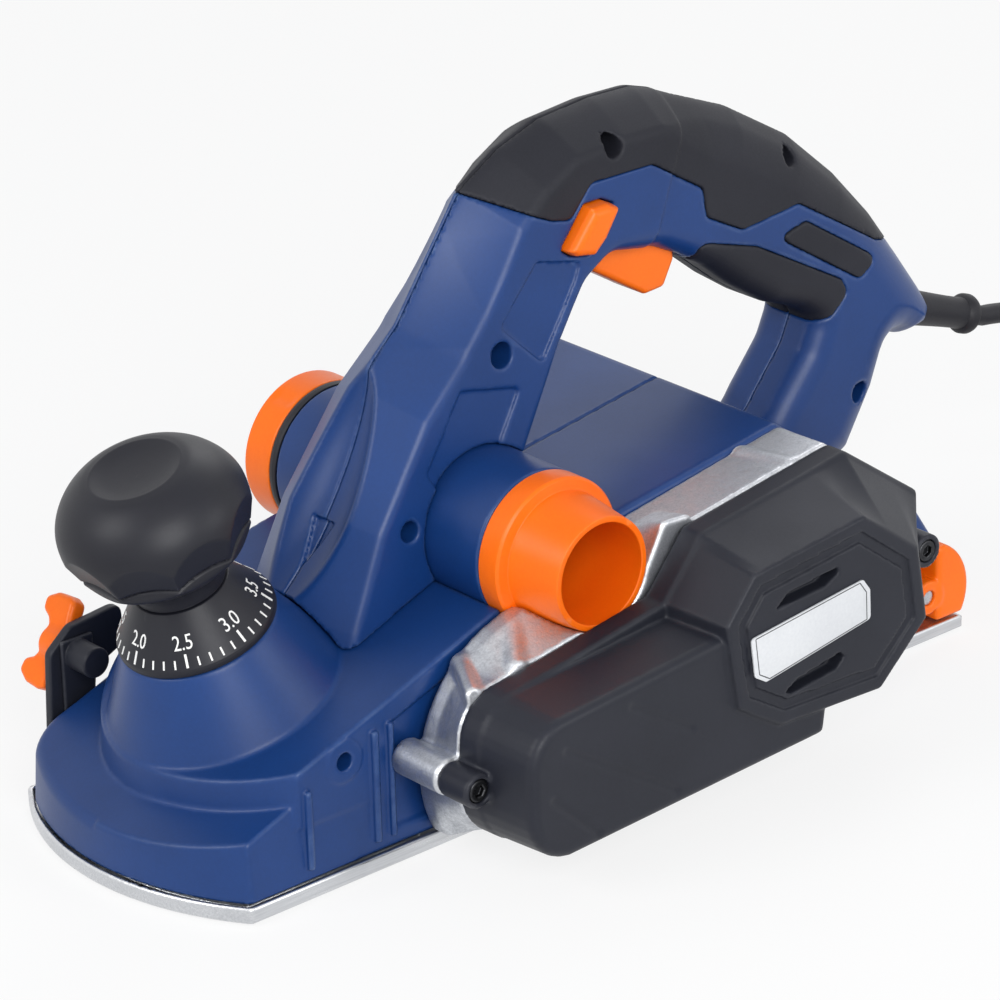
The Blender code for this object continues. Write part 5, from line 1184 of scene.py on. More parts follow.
# cast frame, side plate and the machined rear sole
lobeFront = [*arcPoints(76.5, 30.0, 18.0, -84.0, 0.0, 8), *arcPoints(79.0, 45.5, 15.5, 0.0, 82.0, 8)]
rimOctagon = shifted(
    [(57, 20.5), (41.5, 38.5), (-20, 47.5), (-52, 24.5), (-53, -12), (-26, -30), (38, -35), (57, -26)],
    *motorSpot,
)
faceOctagon = shifted(
    [(54, 19), (42.2, 33), (-4.6, 38), (-28, 20), (-32, -5), (-12, -23), (31, -21), (49, -9.7)], *motorSpot,
)
coverOutline = [*lobeFront, *rimOctagon[:6]]
coverBosses = [(98.0, 36.0, 90.3), (-95.0, 52.0, 86.3), (-20.0, 13.0, 86.3)]
castSettings = {
    "flange": [
        *arcPoints(*drumSpot, 43.5, -28.9, 74.0, 16), (8, 87), (-57.5, 97.5), (-91.2, 74.3), (-96.6, 36),
        (-84, 7),
    ],
    "webPlate": [
        (84.0, 60.0), (70.0, 63.2), (37.0, 65.2), (17.0, 79.8), (10.4, 92.0), (-2.0, 91.0), (6.0, 76.0),
        (40.0, 56.0),
    ],
    "back": 56.3, "flangeFace": 61.3, "face": 77.0, "step": 1.0,
}


def adapterGap(x, y, z):
    reach = np.interp(y, [40.0, 56.9, 57.6, 80.0], [25.3, 25.3, 21.6, 18.0])
    return awayFrom(ductSpot, x, z) - reach


def plateForm(x, y, z):
    settings = castSettings
    flange = outlineDistance(softCorners(settings["flange"], 5.0, 3), x, z)
    wall = np.minimum(
        outlineDistance(coverOutline, x, z), outlineDistance(softCorners(settings["webPlate"], 2.0, 3), x, z),
    )
    share = np.clip((y - 62.5) / 13.5, 0.0, 1.0)
    side = (flange * (1.0 - share) + wall * share) * 0.85
    body = roundMax(side, slab(y, settings["back"], settings["face"]), 0.9)
    for a, b, deep in coverBosses:
        boss = roundMax(awayFrom((a, b), x, z) - 5.9, slab(y, settings["back"], settings["face"]), 0.9)
        body = roundMin(body, boss, 2.2)
    for start, end, radius in (
        ((78.0, 59.0, 61.0), (88.0, 76.0, 59.5), 2.4), ((57.0, 58.5, 68.0), (70.0, 75.5, 62.8), 2.2),
        ((-40.0, 58.0, 94.0), (-44.0, 75.0, 93.4), 1.8),
    ):
        body = roundMin(
            body, np.maximum(lineDistance([start, end], x, y, z) - radius, y - settings["face"]), 2.5,
        )
    hollow = np.maximum(outlineDistance(coverOutline, x, z) + 4.2, 70.5 - y)
    body = roundMax(body, -hollow, 0.6)
    for a, b in (drumSpot, motorSpot):
        body = np.maximum(body, -(awayFrom((a, b), x, z) - 13.3))
    body = roundMax(body, -adapterGap(x, y, z), 0.6)
    for a, b, deep in coverBosses:
        body = np.maximum(body, -np.maximum(awayFrom((a, b), x, z) - 2.5, 64.0 - y))
    return body


def rightWallForm(x, y, z):
    outline = [*arcPoints(*drumSpot, 21.0, -10.0, 190.0, 22), (7.7, 8.0), (36.0, 8.0)]
    body = roundMax(outlineDistance(outline, x, z), slab(y, -63.5, -55.5), 1.2)
    web = blockForm(x, y, z, (-88.0, -58.0, 3.0), (23.7, -49.0, 12.0), 0.8)
    ring = roundMax(np.abs(awayFrom(drumSpot, x, z) - 16.5) - 1.4, slab(y, -64.6, -60.0), 0.6)
    body = roundMin(np.minimum(body, web), ring, 0.6)
    return np.maximum(body, -np.maximum(np.maximum(awayFrom(drumSpot, x, z) - 30.5, -55.5 - y), y))


def frameForm(x, y, z):
    web = blockForm(x, y, z, (-88.0, 49.0, 3.0), (23.7, 60.0, 12.0), 0.8)
    body = roundMin(np.minimum(plateForm(x, y, z), web), rightWallForm(x, y, z), 0.1)
    lip = np.maximum(awayFrom(drumSpot, x, z) - 30.5, slab(y, -55.5, 56.0))
    return np.maximum(body, -lip)


def soleForm(x, y, z):
    body = blockForm(x, y, z, (-142.7, -56.0, 0.0), (50.0, 56.0, 4.5), 0.5)
    lip = np.maximum(awayFrom(drumSpot, x, z) - 30.5, np.abs(y) - 90.0)
    body = np.maximum(body, -lip)
    toe = blockForm(x, y, z, (-131.2, 27.2, -40.0), (-104.4, 48.8, 15.2))
    return np.maximum(body, -toe)


castFrame = carved("castFrame", frameForm, (-104, -65, 2), (106, 78, 99), castSettings["step"], "castAluminium")
settle(castFrame, "body", "cast_aluminium", "base_frame")
sole = carved("rearSole", soleForm, (-144, -57, -1), (52, 57, 6), 0.8, "groundAluminium")
settle(sole, "body", "cast_aluminium")
print("castings ready")

# belt cover: long lobe over the drum pulley, faceted crown over the motor pulley
coverSettings = {
    "lobe": [
        *lobeFront, (7.0, 67.0), (-33.0, 42.0), (-29.0, 17.0),
    ], "back": 77.3, "rim": 86.3, "face": 108.3, "crown": 110.3, "step": 0.95,
    "vents": [
        [(-9.3, 72.5), (-30.7, 74.6), (-31.4, 72.6), (-25.7, 69.8), (-4.8, 68.6)],
        [(-13.5, 42.5), (-32.1, 45.4), (-33.9, 43.4), (-30.3, 40.3), (-11.2, 38.3), (-8.5, 39.6)],
    ],
    "creases": [((79.4, 49.1), (35.3, 20.9)), ((52.9, 54.8), (28.7, 39.5)), ((84.6, 34.6), (67.2, 17.9))],
}


def coverForm(x, y, z):
    settings = coverSettings
    rim = roundMax(
        outlineDistance(softCorners(coverOutline, 3.0, 3), x, z), slab(y, settings["back"], settings["rim"]),
        1.4,
    )
    lobe2d = outlineDistance(softCorners(settings["lobe"], 4.0, 3), x, z) + 0.3
    draft = 0.06 * (y - settings["rim"])
    face = y - settings["face"]
    bevel = (lobe2d + face + 3.0) * 0.7071
    lobe = roundMax(np.maximum(np.maximum(lobe2d + draft, settings["back"] - y), face), bevel, 0.8)
    share = np.clip((y - settings["rim"] + 1.0) / (settings["crown"] - settings["rim"] + 1.0), 0.0, 1.0)
    side = outlineDistance(rimOctagon, x, z) * (1.0 - share) + outlineDistance(faceOctagon, x, z) * share
    crown = roundMax(side * 0.86 + 0.3, slab(y, settings["back"], settings["crown"]), 0.7)
    body = roundMin(roundMin(rim, lobe, 0.7), crown, 0.7)
    inner = outlineDistance(faceOctagon, x, z)
    groove = np.maximum(np.abs(inner + 6.4) - 1.7, settings["crown"] - 1.1 - y)
    body = roundMax(body, -groove, 0.25)
    for (a0, b0), (a1, b1) in settings["creases"]:
        crease = lineDistance(
            [(a0, settings["face"] + 0.7, b0), (a1, settings["face"] + 0.7, b1)], x, y, z,
        ) - 1.35
        body = roundMax(body, -crease, 0.5)
    for vent in settings["vents"]:
        slot = np.maximum(outlineDistance(vent, x, z), settings["crown"] - 5.0 - y)
        body = roundMax(body, -slot, 0.4)
    for a, b, deep in coverBosses:
        boss = roundMax(awayFrom((a, b), x, z) - 5.6, slab(y, settings["back"], deep), 0.8)
        body = roundMin(body, boss, 1.2)
    rimHollow = np.maximum(outlineDistance(coverOutline, x, z) + 2.5, y - 83.5)
    lobeHollow = np.maximum(lobe2d + 4.5, y - 104.0)
    body = np.maximum(body, -np.minimum(rimHollow, lobeHollow))
    for a, b, deep in coverBosses:
        body = np.maximum(body, -np.maximum(awayFrom((a, b), x, z) - 2.5, 0.0 * y))
        body = roundMax(body, -np.maximum(awayFrom((a, b), x, z) - 3.9, deep - 3.0 - y), 0.3)
    return body


cover = carved("beltCover", coverForm, (-104, 76, 9), (106, 112, 100), coverSettings["step"], "blackPlastic")
settle(cover, "body", "black_plastic", "belt_cover")

# bare rating plate with a printed border
plateSettings = {
    "outline": [(6.6, 62.5), (-41.1, 67.4), (-44.1, 63.2), (-44.4, 53.2), (0.4, 46.4), (5.0, 49.3)],
    "low": 110.35, "high": 111.0,
}


def prismPiece(name, outline, low, high, finish, bevel=0.0, segments=3):
    shape = bmesh.new()
    ring = [shape.verts.new((a * millimetre, low * millimetre, b * millimetre)) for a, b in outline]
    base = shape.faces.new(ring)
    grown = bmesh.ops.extrude_face_region(shape, geom=[base])
    for item in grown["geom"]:
        if isinstance(item, bmesh.types.BMVert):
            item.co.y = high * millimetre
    bmesh.ops.recalc_face_normals(shape, faces=shape.faces)
    if bevel:
        sharp = [edge for edge in shape.edges if edge.calc_face_angle(0.0) > math.radians(50.0)]
        bmesh.ops.bevel(
            shape, geom=sharp, offset=bevel * millimetre, segments=segments, profile=0.5, affect="EDGES",
            clamp_overlap=True,
        )
    mesh = bpy.data.meshes.new(name)
    shape.to_mesh(mesh)
    shape.free()
    mesh.polygons.foreach_set("use_smooth", [True] * len(mesh.polygons))
    mesh.materials.append(finishes[finish])
    piece = bpy.data.objects.new(name, mesh)
    bpy.context.collection.objects.link(piece)
    sharpEdges(piece, 35.0)
    return piece


def joined(name, pieces):
    shape = bmesh.new()
    mesh = bpy.data.meshes.new(name)
    for piece in pieces:
        for material in piece.data.materials:
            if material and material.name not in [m.name for m in mesh.materials]:
                mesh.materials.append(material)
    for piece in pieces:
        first = len(shape.faces)
        shape.from_mesh(piece.data)
        shape.faces.ensure_lookup_table()
        lookup = [mesh.materials.find(material.name) if material else 0 for material in piece.data.materials]
        for face in shape.faces[first:]:
            face.material_index = lookup[face.material_index]
    shape.to_mesh(mesh)
    shape.free()
    for piece in pieces:
        bpy.data.objects.remove(piece)
    result = bpy.data.objects.new(name, mesh)
    bpy.context.collection.objects.link(result)
    return result


def makeRatingPlate(settings):
    outline = softCorners(settings["outline"], 1.6, 4)
    plate = prismPiece("ratingFoil", outline, settings["low"], settings["high"], "plateFoil", 0.15, 2)
    middle = np.mean(np.array(settings["outline"]), axis=0)
    strips = [plate]
    for index in range(len(settings["outline"])):
        a = middle + (np.array(settings["outline"][index]) - middle) * 0.93
        b = middle + (np.array(settings["outline"][(index + 1) % 6]) - middle) * 0.93
        way = (b - a) / np.linalg.norm(b - a)
        side = np.array((-way[1], way[0])) * 0.16
        strips.append(prismPiece(
            "ratingRule", [tuple(a - side), tuple(b - side), tuple(b + side), tuple(a + side)],
            settings["high"] - 0.1, settings["high"] + 0.05, "plateInk",
        ))
    return joined("ratingPlate", strips)


settle(makeRatingPlate(plateSettings), "body", "plain_plate", "rating_plate")
print("belt cover ready")

# depth dial: scalloped knob, printed scale skirt
dialSettings = {
    "lobes": 9, "cut": 25.3, "cutSlope": 0.35, "wave": 0.9, "waveRise": 33.0, "lowRise": 25.0,
    "dish": [(0.0, 58.3), (5.0, 58.5), (10.0, 59.1), (14.4, 60.3)],
    "knob": [
        (14.4, 60.3), (17.6, 59.4), (21.2, 57.3), (24.8, 54.2), (27.7, 50.3), (29.4, 46.4), (30.0, 42.4),
        (29.8, 38.6), (28.8, 34.6), (26.8, 31.0), (23.6, 28.0), (19.4, 25.6), (16.4, 23.4), (15.2, 20.6), (14.4, 16.9),
    ],
    "bore": [(4.8, 16.8), (4.8, 30.3), (0.0, 30.3)],
    "skirt": [(15.0, 16.5), (16.9, 13.8), (25.0, 2.4), (25.2, 1.6), (25.2, 0.0), (4.8, 0.0), (4.8, 16.5)],
    "figures": ["0", "0.5", "1.0", "1.5", "2.0", "2.5", "3.0", "3.5"], "figureSize": 6.5, "figureRise": 7.5,
    "tickLow": 3.0, "shortTick": 2.7, "longTick": 4.2, "tickWidth": 0.55,
}


def knobRipple(radius, rise, turn):
    share = (turn * dialSettings["lobes"] / (2.0 * math.pi)) % 1.0
    scoop = 1.0 - (2.0 * share - 1.0) ** 2
    line = dialSettings["waveRise"] + dialSettings["wave"] * (scoop - 0.5) * 2.0
    if radius < 18.0 or rise > 55.0 or rise < dialSettings["lowRise"]:
        return 0.0
    bend = math.cos((share - 0.5) * 2.0 * math.pi / dialSettings["lobes"] * 1.15)
    level = max(rise, line)
    plane = (dialSettings["cut"] + dialSettings["cutSlope"] * (level - dialSettings["waveRise"])) / bend
    fade = min(1.0, (rise - dialSettings["lowRise"]) / (line - dialSettings["lowRise"]))
    groove = 0.9 * math.exp(-((rise - line) / 0.42) ** 2)
    over = radius - plane if rise > line else (radius + 1.6 * (1.0 - fade) - plane) * fade
    return -max(0.0, over) - groove


def makeKnob(settings):
    profile = []
    for part in ("dish", "knob"):
        line = smoothRoute([(a, 0.0, b) for a, b in settings[part]], 0.45)
        profile += [(float(a), float(b)) for a, _, b in (line if part == "knob" else line[:-1])]
    return turnedPiece(
        "depthKnob", [*profile, *settings["bore"]], knobPoint, knobAxis, "knobPlastic", 240, knobRipple,
    )


def onSkirt(turn, rise, lift):
    slope = (25.0 - 16.9) / (13.8 - 2.4)
    reach = 25.0 - (rise - 2.4) * slope
    flat = np.array((math.cos(turn), math.sin(turn)))
    out = (knobAcross * flat[0] + np.array((0.0, 1.0, 0.0)) * flat[1])
    normal = out * math.cos(math.atan(slope)) + knobAxis * math.sin(math.atan(slope))
    return knobPoint + knobAxis * rise + out * reach + normal * lift


def makeFigures(settings):
    pieces = []
    for index, words in enumerate(settings["figures"]):
        data = bpy.data.curves.new("figure" + str(index), "FONT")
        data.body = words
        data.size = settings["figureSize"]
        data.align_x = "CENTER"
        data.resolution_u = 3
        text = bpy.data.objects.new("figure" + str(index), data)
        bpy.context.collection.objects.link(text)
        bpy.context.view_layer.update()
        mesh = bpy.data.meshes.new_from_object(text.evaluated_get(bpy.context.evaluated_depsgraph_get()))
        bpy.data.objects.remove(text)
        shape = bmesh.new()
        shape.from_mesh(mesh)
        bmesh.ops.remove_doubles(shape, verts=shape.verts, dist=1e-5)
        bmesh.ops.triangulate(shape, faces=shape.faces)
        bmesh.ops.subdivide_edges(shape, edges=[e for e in shape.edges if e.calc_length() > 1.2], cuts=1)
        bmesh.ops.triangulate(shape, faces=shape.faces)
        top = list(shape.faces)
        grown = bmesh.ops.extrude_face_region(shape, geom=top)
        lifted = {item for item in grown["geom"] if isinstance(item, bmesh.types.BMVert)}
        middle = math.pi + math.radians(45.0) * index
        for spot in shape.verts:
            rise = settings["figureRise"] + spot.co.y * 0.82
            reach = 25.0 - (rise - 2.4) * 0.71
            place = onSkirt(middle + spot.co.x * 0.86 / (reach + 1.2), rise, 0.12 if spot in lifted else -0.15)
            spot.co = Vector(place) * millimetre
        bmesh.ops.recalc_face_normals(shape, faces=shape.faces)
        shape.to_mesh(mesh)
        shape.free()
        mesh.materials.clear()
        mesh.materials.append(finishes["scalePrint"])
        piece = bpy.data.objects.new("figurePrint" + str(index), mesh)
        bpy.context.collection.objects.link(piece)
        pieces.append(piece)
    return pieces


def newTree(name, inputs):
    tree = bpy.data.node_groups.new(name, "GeometryNodeTree")
    tree.interface.new_socket("Geometry", in_out="INPUT", socket_type="NodeSocketGeometry")
    for label, kind, value in inputs:
        socket = tree.interface.new_socket(label, in_out="INPUT", socket_type=kind)
        if value is not None:
            socket.default_value = value
    tree.interface.new_socket("Geometry", in_out="OUTPUT", socket_type="NodeSocketGeometry")
    return tree, tree.nodes.new("NodeGroupInput"), tree.nodes.new("NodeGroupOutput")


def runTree(name, tree, values, holder=None):
    if holder is None:
        mesh = bpy.data.meshes.new(name)
        mesh.from_pydata([(0.0, 0.0, 0.0)], [], [])
        holder = bpy.data.objects.new(name, mesh)
        bpy.context.collection.objects.link(holder)
    modifier = holder.modifiers.new("repeat", "NODES")
    modifier.node_group = tree
    for item in tree.interface.items_tree:
        if item.item_type == "SOCKET" and item.in_out == "INPUT" and item.name in values:
            modifier[item.identifier] = values[item.name]
    bpy.context.view_layer.update()
    result = bpy.data.meshes.new_from_object(holder.evaluated_get(bpy.context.evaluated_depsgraph_get()))
    bpy.data.objects.remove(holder)
    piece = bpy.data.objects.new(name, result)
    bpy.context.collection.objects.link(piece)
    return piece


def makeTickTree():
    # bars set round a cone, every so many of them left out
    tree, start, end = newTree("tickRing", [
        ("Count", "NodeSocketInt", 40), ("Radius", "NodeSocketFloat", 0.02), ("Slope", "NodeSocketFloat", 0.6), (
            "Length", "NodeSocketFloat", 0.003,
        ),
        ("Width", "NodeSocketFloat", 0.0005), (
            "Thickness", "NodeSocketFloat", 0.0003,
        ), ("Skip", "NodeSocketInt", 5), ("Ink", "NodeSocketMaterial", None),
    ])
    ring = tree.nodes.new("GeometryNodeMeshCircle")
    tree.links.new(start.outputs["Count"], ring.inputs["Vertices"])
    tree.links.new(start.outputs["Radius"], ring.inputs["Radius"])
    bar = tree.nodes.new("GeometryNodeMeshCube")
    size = tree.nodes.new("ShaderNodeCombineXYZ")
    for label, slot in (("Length", 0), ("Width", 1), ("Thickness", 2)):
        tree.links.new(start.outputs[label], size.inputs[slot])
    tree.links.new(size.outputs[0], bar.inputs["Size"])
    number = tree.nodes.new("GeometryNodeInputIndex").outputs[0]
    turn = addMath(tree, "DIVIDE", addMath(tree, "MULTIPLY", number, 2.0 * math.pi), start.outputs["Count"])
    rotation = tree.nodes.new("ShaderNodeCombineXYZ")
    tree.links.new(start.outputs["Slope"], rotation.inputs[1])
    tree.links.new(turn, rotation.inputs[2])
    chosen = addMath(tree, "GREATER_THAN", addMath(tree, "MODULO", number, start.outputs["Skip"]), 0.5)
    every = addMath(tree, "LESS_THAN", start.outputs["Skip"], 0.5)
    pick = addMath(tree, "MAXIMUM", chosen, every)
    spread = tree.nodes.new("GeometryNodeInstanceOnPoints")
    tree.links.new(ring.outputs["Mesh"], spread.inputs["Points"])
    tree.links.new(pick, spread.inputs["Selection"])
    tree.links.new(bar.outputs["Mesh"], spread.inputs["Instance"])
    tree.links.new(rotation.outputs[0], spread.inputs["Rotation"])
    real = tree.nodes.new("GeometryNodeRealizeInstances")
    tree.links.new(spread.outputs["Instances"], real.inputs["Geometry"])
    ink = tree.nodes.new("GeometryNodeSetMaterial")
    tree.links.new(real.outputs["Geometry"], ink.inputs["Geometry"])
    tree.links.new(start.outputs["Ink"], ink.inputs["Material"])
    tree.links.new(ink.outputs["Geometry"], end.inputs["Geometry"])
    return tree


tickTree = makeTickTree()
dialFrame = Matrix.Translation(Vector(knobPoint) * millimetre) @ Matrix((
    Vector(knobAcross), Vector((0.0, 1.0, 0.0)), Vector(knobAxis),
)).transposed().to_4x4()


def makeTicks(settings):
    slope = math.atan(0.71)
    pieces = []
    for name, count, length, skip in (
        ("shortTicks", 40, settings["shortTick"], 5), ("longTicks", 8, settings["longTick"], 0),
    ):
        middle = settings["tickLow"] + length * math.cos(slope) / 2.0
        reach = 25.0 - (middle - 2.4) * 0.71
        values = {
            "Count": count, "Radius": reach * millimetre, "Slope": math.pi / 2.0 - slope, "Length": length * millimetre,
            "Width": settings["tickWidth"] * millimetre * (1.0 if skip else 1.35), "Thickness": 0.0003, "Skip": skip, "Ink": finishes["scalePrint"],
        }
        piece = runTree(name, tickTree, values)
        piece.data.transform(dialFrame @ Matrix.Translation((0.0, 0.0, middle * millimetre)))
        pieces.append(piece)
    return pieces


def makeDial(settings):
    knob = makeKnob(settings)
    settle(knob, "dial", "black_plastic", "depth_knob")
    skirt = turnedPiece(
        "scaleSkirt", softCorners(settings["skirt"], 0.5, 3), knobPoint, knobAxis, "knobPlastic", 120,
    )
    settle(skirt, "dial", "black_plastic", "depth_scale")
    marks = joined("scaleMarks", [*makeFigures(settings), *makeTicks(settings)])
    settle(marks, "dial", "black_plastic")


makeDial(dialSettings)
print("dial ready")

# chip duct with its slot over the drum, outlet adapter and blanking plug
ductSettings = {"radius": 24.7, "bore": 21.7, "right": -49.0, "left": 48.0, "step": 0.9}


def ductForm(x, y, z):
    reach = awayFrom(ductSpot, x, z)
    body = roundMax(reach - ductSettings["radius"], slab(y, ductSettings["right"], ductSettings["left"]), 0.8)
    body = roundMax(body, -(reach - ductSettings["bore"]), 0.6)
    slot = blockForm(x, y, z, (26.0, -42.0, 30.0), (46.0, 42.0, 70.0), 1.0)
    return roundMax(body, -slot, 0.5)


duct = carved("chipDuct", ductForm, (10, -50, 57), (62, 49, 108), ductSettings["step"], "bluePlastic")
settle(duct, "body", "blue_plastic", "chip_duct")
adapterProfile = [
    (16.2, 77.0), (18.3, 77.0), (20.8, 57.6), (23.9, 57.0), (24.7, 56.2), (24.7, 48.3), (21.4, 48.3), (21.4, 34.3), (19.2, 34.3), (19.2, 50.0), (18.4, 57.0),
]
adapter = turnedPiece(
    "outletAdapter", softCorners(adapterProfile, 0.55, 4), ductOrigin, acrossBody, "orangePlastic", 128,
)
settle(adapter, "adapter", "orange_plastic", "dust_adapter")
sealProfile = [(21.7, -49.3), (24.7, -49.3), (24.9, -50.8), (24.7, -52.3), (21.7, -52.3)]
seal = turnedPiece("plugSeal", softCorners(sealProfile, 0.4, 3), ductOrigin, acrossBody, "leadRubber", 96)
settle(seal, "plug", "black_rubber", "plug_seal")
plugProfile = [
    (0.0, -35.0), (19.2, -35.0), (21.4, -36.0), (21.4, -52.6), (24.7, -52.6), (24.7, -64.4), (23.2, -65.6),
    (18.0, -65.6), (17.2, -63.9), (0.0, -63.9),
]


def plugRipple(radius, rise, turn):
    if radius < 24.0 or not -63.6 < rise < -54.0:
        return 0.0
    return -0.8 * math.exp(-((((turn * 6.0 / math.pi) % 4.0) - 2.0) / 0.2) ** 2)


def denseProfile(points, spacing):
    result = []
    for index, (a, b) in enumerate(points):
        c, d = points[(index + 1) % len(points)]
        count = max(1, int(math.hypot(c - a, d - b) / spacing)) if index + 1 < len(points) else 1
        result += [(a + (c - a) * i / count, b + (d - b) * i / count) for i in range(count)]
    return result


blank = turnedPiece(
    "blankingPlug", denseProfile(softCorners(plugProfile, 0.6, 3), 1.5), ductOrigin, acrossBody,
    "orangePlastic", 288, plugRipple,
)
settle(blank, "plug", "orange_plastic", "duct_plug")
print("chip duct ready")

# rebate stop with its wing screw, parking foot, trigger and lock button
stopOutline = softCorners(
    [(118, 56), (138, 54), (146.5, 47), (148, 16), (131, 16), (129, 37), (118, 42)], 4.0, 5,
)


def stopForm(x, y, z):
    plate = roundMax(outlineDistance(stopOutline, x, z), slab(y, -59.5, -56.3), 0.7)
    foot = blockForm(x, y, z, (131.2, -61.3, 16.0), (147.6, -56.4, 19.5), 0.6)
    plate = roundMin(plate, foot, 0.6)
    slot = np.maximum(np.hypot(x - stopSpot[0], z - np.clip(z, 31.0, stopSpot[1])) - 3.3, slab(y, -90.0, 0.0))
    return roundMax(plate, -slot, 0.4)


stop = carved("stopBracket", stopForm, (117, -62, 15), (149, -55, 57), 0.5, "blackPlastic")
settle(stop, "stop", "black_plastic", "stop_bracket")
wingOutline = softCorners(
    [
        (0, 0), (6.0, 0.2), (10.0, 1.2), (14.2, 1.8), (15.4, 5.0), (15.0, 11.0), (12.4, 15.6), (8.2, 15.0),
        (6.4, 11.4), (3.5, 9.6), (0, 9.2),
    ],
    2.4, 4,
)


def wingForm(x, y, z):
    lean = math.radians(60.0)
    across = (x - stopSpot[0]) * math.cos(lean) - (z - stopSpot[1]) * math.sin(lean)
    flat = (x - stopSpot[0]) * math.sin(lean) + (z - stopSpot[1]) * math.cos(lean)
    out = -59.8 - y
    hub = roundMax(np.hypot(across, flat) - 6.0 + 0.08 * out, slab(out, 0.0, 9.0), 1.0)
    wing = roundMax(outlineDistance(wingOutline, np.abs(across), out), np.abs(flat) - 3.0, 1.8)
    body = roundMin(hub, wing, 1.4)
    shank = np.maximum(np.hypot(across, flat) - 2.6, slab(out, -10.8, 1.0))
    return np.minimum(body, shank)


def guideForm(x, y, z):
    # pad and boss between the bracket and the housing
    pad = roundMax(blockForm(x, y, z, (131.0, -56.15, 27.0), (143.0, -54.6, 50.5), 0.4), -56.15 - y, 0.2)
    boss = roundMax(awayFrom(stopSpot, x, z) - 5.0, slab(y, -55.5, -45.0), 0.6)
    bore = np.maximum(awayFrom(stopSpot, x, z) - 3.0, y + 47.6)
    return np.maximum(np.minimum(pad, boss), -bore)


guide = carved("stopGuide", guideForm, (130, -57.5, 26), (144, -44, 52), 0.5, "blackPlastic")
settle(guide, "body", "black_plastic")
wing = carved("wingScrew", wingForm, (119, -77, 28), (155, -48, 62), 0.5, "orangePlastic")
settle(wing, "wing", "orange_plastic", "wing_screw")
footBlock = softCorners([*arcPoints(*footSpot, 18.6, 116.0, 212.0, 18), (-131.0, 5.4), (-131.0, 32.0)], 1.6, 3)


def footForm(x, y, z):
    block = roundMax(outlineDistance(footBlock, x, z), slab(y, 20.0, 56.0), 2.0)
    hub = roundMax(awayFrom(footSpot, x, z) - 6.0, slab(y, 20.0, 56.0), 1.0)
    turn = math.radians(30.0)
    along = (x - footSpot[0]) * math.cos(turn) - (z - footSpot[1]) * math.sin(turn)
    thick = (x - footSpot[0]) * math.sin(turn) + (z - footSpot[1]) * math.cos(turn)
    toe = roundMax(roundMax(slab(along, 0.0, 22.0), np.abs(thick) - 3.2, 2.2), slab(y, 28.0, 48.0), 1.0)
    body = roundMin(roundMin(block, hub, 1.5), toe, 1.0)
    pad = np.maximum(
        np.maximum(np.abs(awayFrom(footSpot, x, z) - 18.8) - 0.5, np.abs(np.mod(y, 5.0) - 2.5) - 0.7),
        np.maximum(27.0 - y, y - 49.0),
    )
    body = roundMax(body, -np.maximum(pad, x + 138.0), 0.3)
    return np.maximum(body, -(awayFrom(footSpot, x, z) - 2.7))


foot = carved("parkingFoot", footForm, (-148, 19, -1), (-104, 57, 34), 0.6, "orangePlastic")
settle(foot, "foot", "orange_plastic", "parking_foot")
triggerOutline = softCorners(shifted(handleSettings["trigger"], *handleSettings["triggerPivot"]), 2.4, 5)


def triggerForm(x, y, z):
    return roundMax(outlineDistance(triggerOutline, x, z), np.abs(y) - 8.0, 2.0)


trigger = carved("trigger", triggerForm, (-61, -9, 130), (-23, 9, 158), 0.5, "orangePlastic")
settle(trigger, "trigger", "orange_plastic", "trigger")
buttonOutline = softCorners(shifted(handleSettings["button"], *handleSettings["buttonCentre"]), 1.2, 4)


def buttonForm(x, y, z):
    side = outlineDistance(buttonOutline, x, z) + 0.10 * np.maximum(y - 18.0, 0.0)
    bevel = (side + (y - 23.5) + 1.6) * 0.7071
    return roundMax(roundMax(side, slab(y, 13.5, 23.5), 0.8), bevel, 0.8)


button = carved("lockButton", buttonForm, (-26, 13, 156), (0, 24.5, 174), 0.45, "orangePlastic")
settle(button, "lock", "orange_plastic", "lock_button")
print("controls ready")

# front shoe with its stem
shoeSettings = {"arcCentre": 80.4, "arcRadius": 96.0, "half": 56.0, "thickness": 6.0, "step": 0.9}


def shoeForm(x, y, z):
    settings = shoeSettings
    arc = np.where(
        x > settings["arcCentre"], np.hypot(x - settings["arcCentre"], y) - settings["arcRadius"], x - 400.0,
    )
    plan = np.maximum(roundMax(arc, np.abs(y) - settings["half"], 1.0), 50.0 - x)
    plate = roundMax(plan, slab(z, 0.0, settings["thickness"]), 0.6)
    bevel = (plan - z + 1.4) * 0.7071
    plate = roundMax(plate, bevel, 0.4)
    land = np.maximum(plan + 6.8, 87.8 - x)
    plate = np.maximum(plate, -np.maximum(np.maximum(plan + 1.6, 2.4 - z), -land))
    throat = awayFrom(drumSpot, x, z) - 34.5
    plate = roundMax(plate, -throat, 0.4)
    rise = alongKnob(x, z, knobPoint)
    away = np.hypot(acrossKnob(x, z, knobPoint), y)
    stem = np.maximum(np.maximum(away - 9.0, rise + 26.0), 3.0 - z)
    body = roundMin(plate, stem, 1.5)
    return np.maximum(body, -np.maximum(away - 5.2, -57.4 - rise))


shoe = carved("frontShoe", shoeForm, (50, -57, -1), (177, 57, 50), shoeSettings["step"], "groundAluminium")
settle(shoe, "shoe", "cast_aluminium", "front_shoe")
print("shoe ready")

# screws: one socket head, set out on points
screwSettings = {
    "cover": [(98.0, 87.4, 36.0), (-95.0, 83.4, 52.0), (-20.0, 83.4, 13.0)],
    "shell": [(25.2, 4.6, 134.5), (-25.2, 3.6, 188.6), (66.6, 4.6, 89.2), (-135.0, 3.6, 74.5)],
}


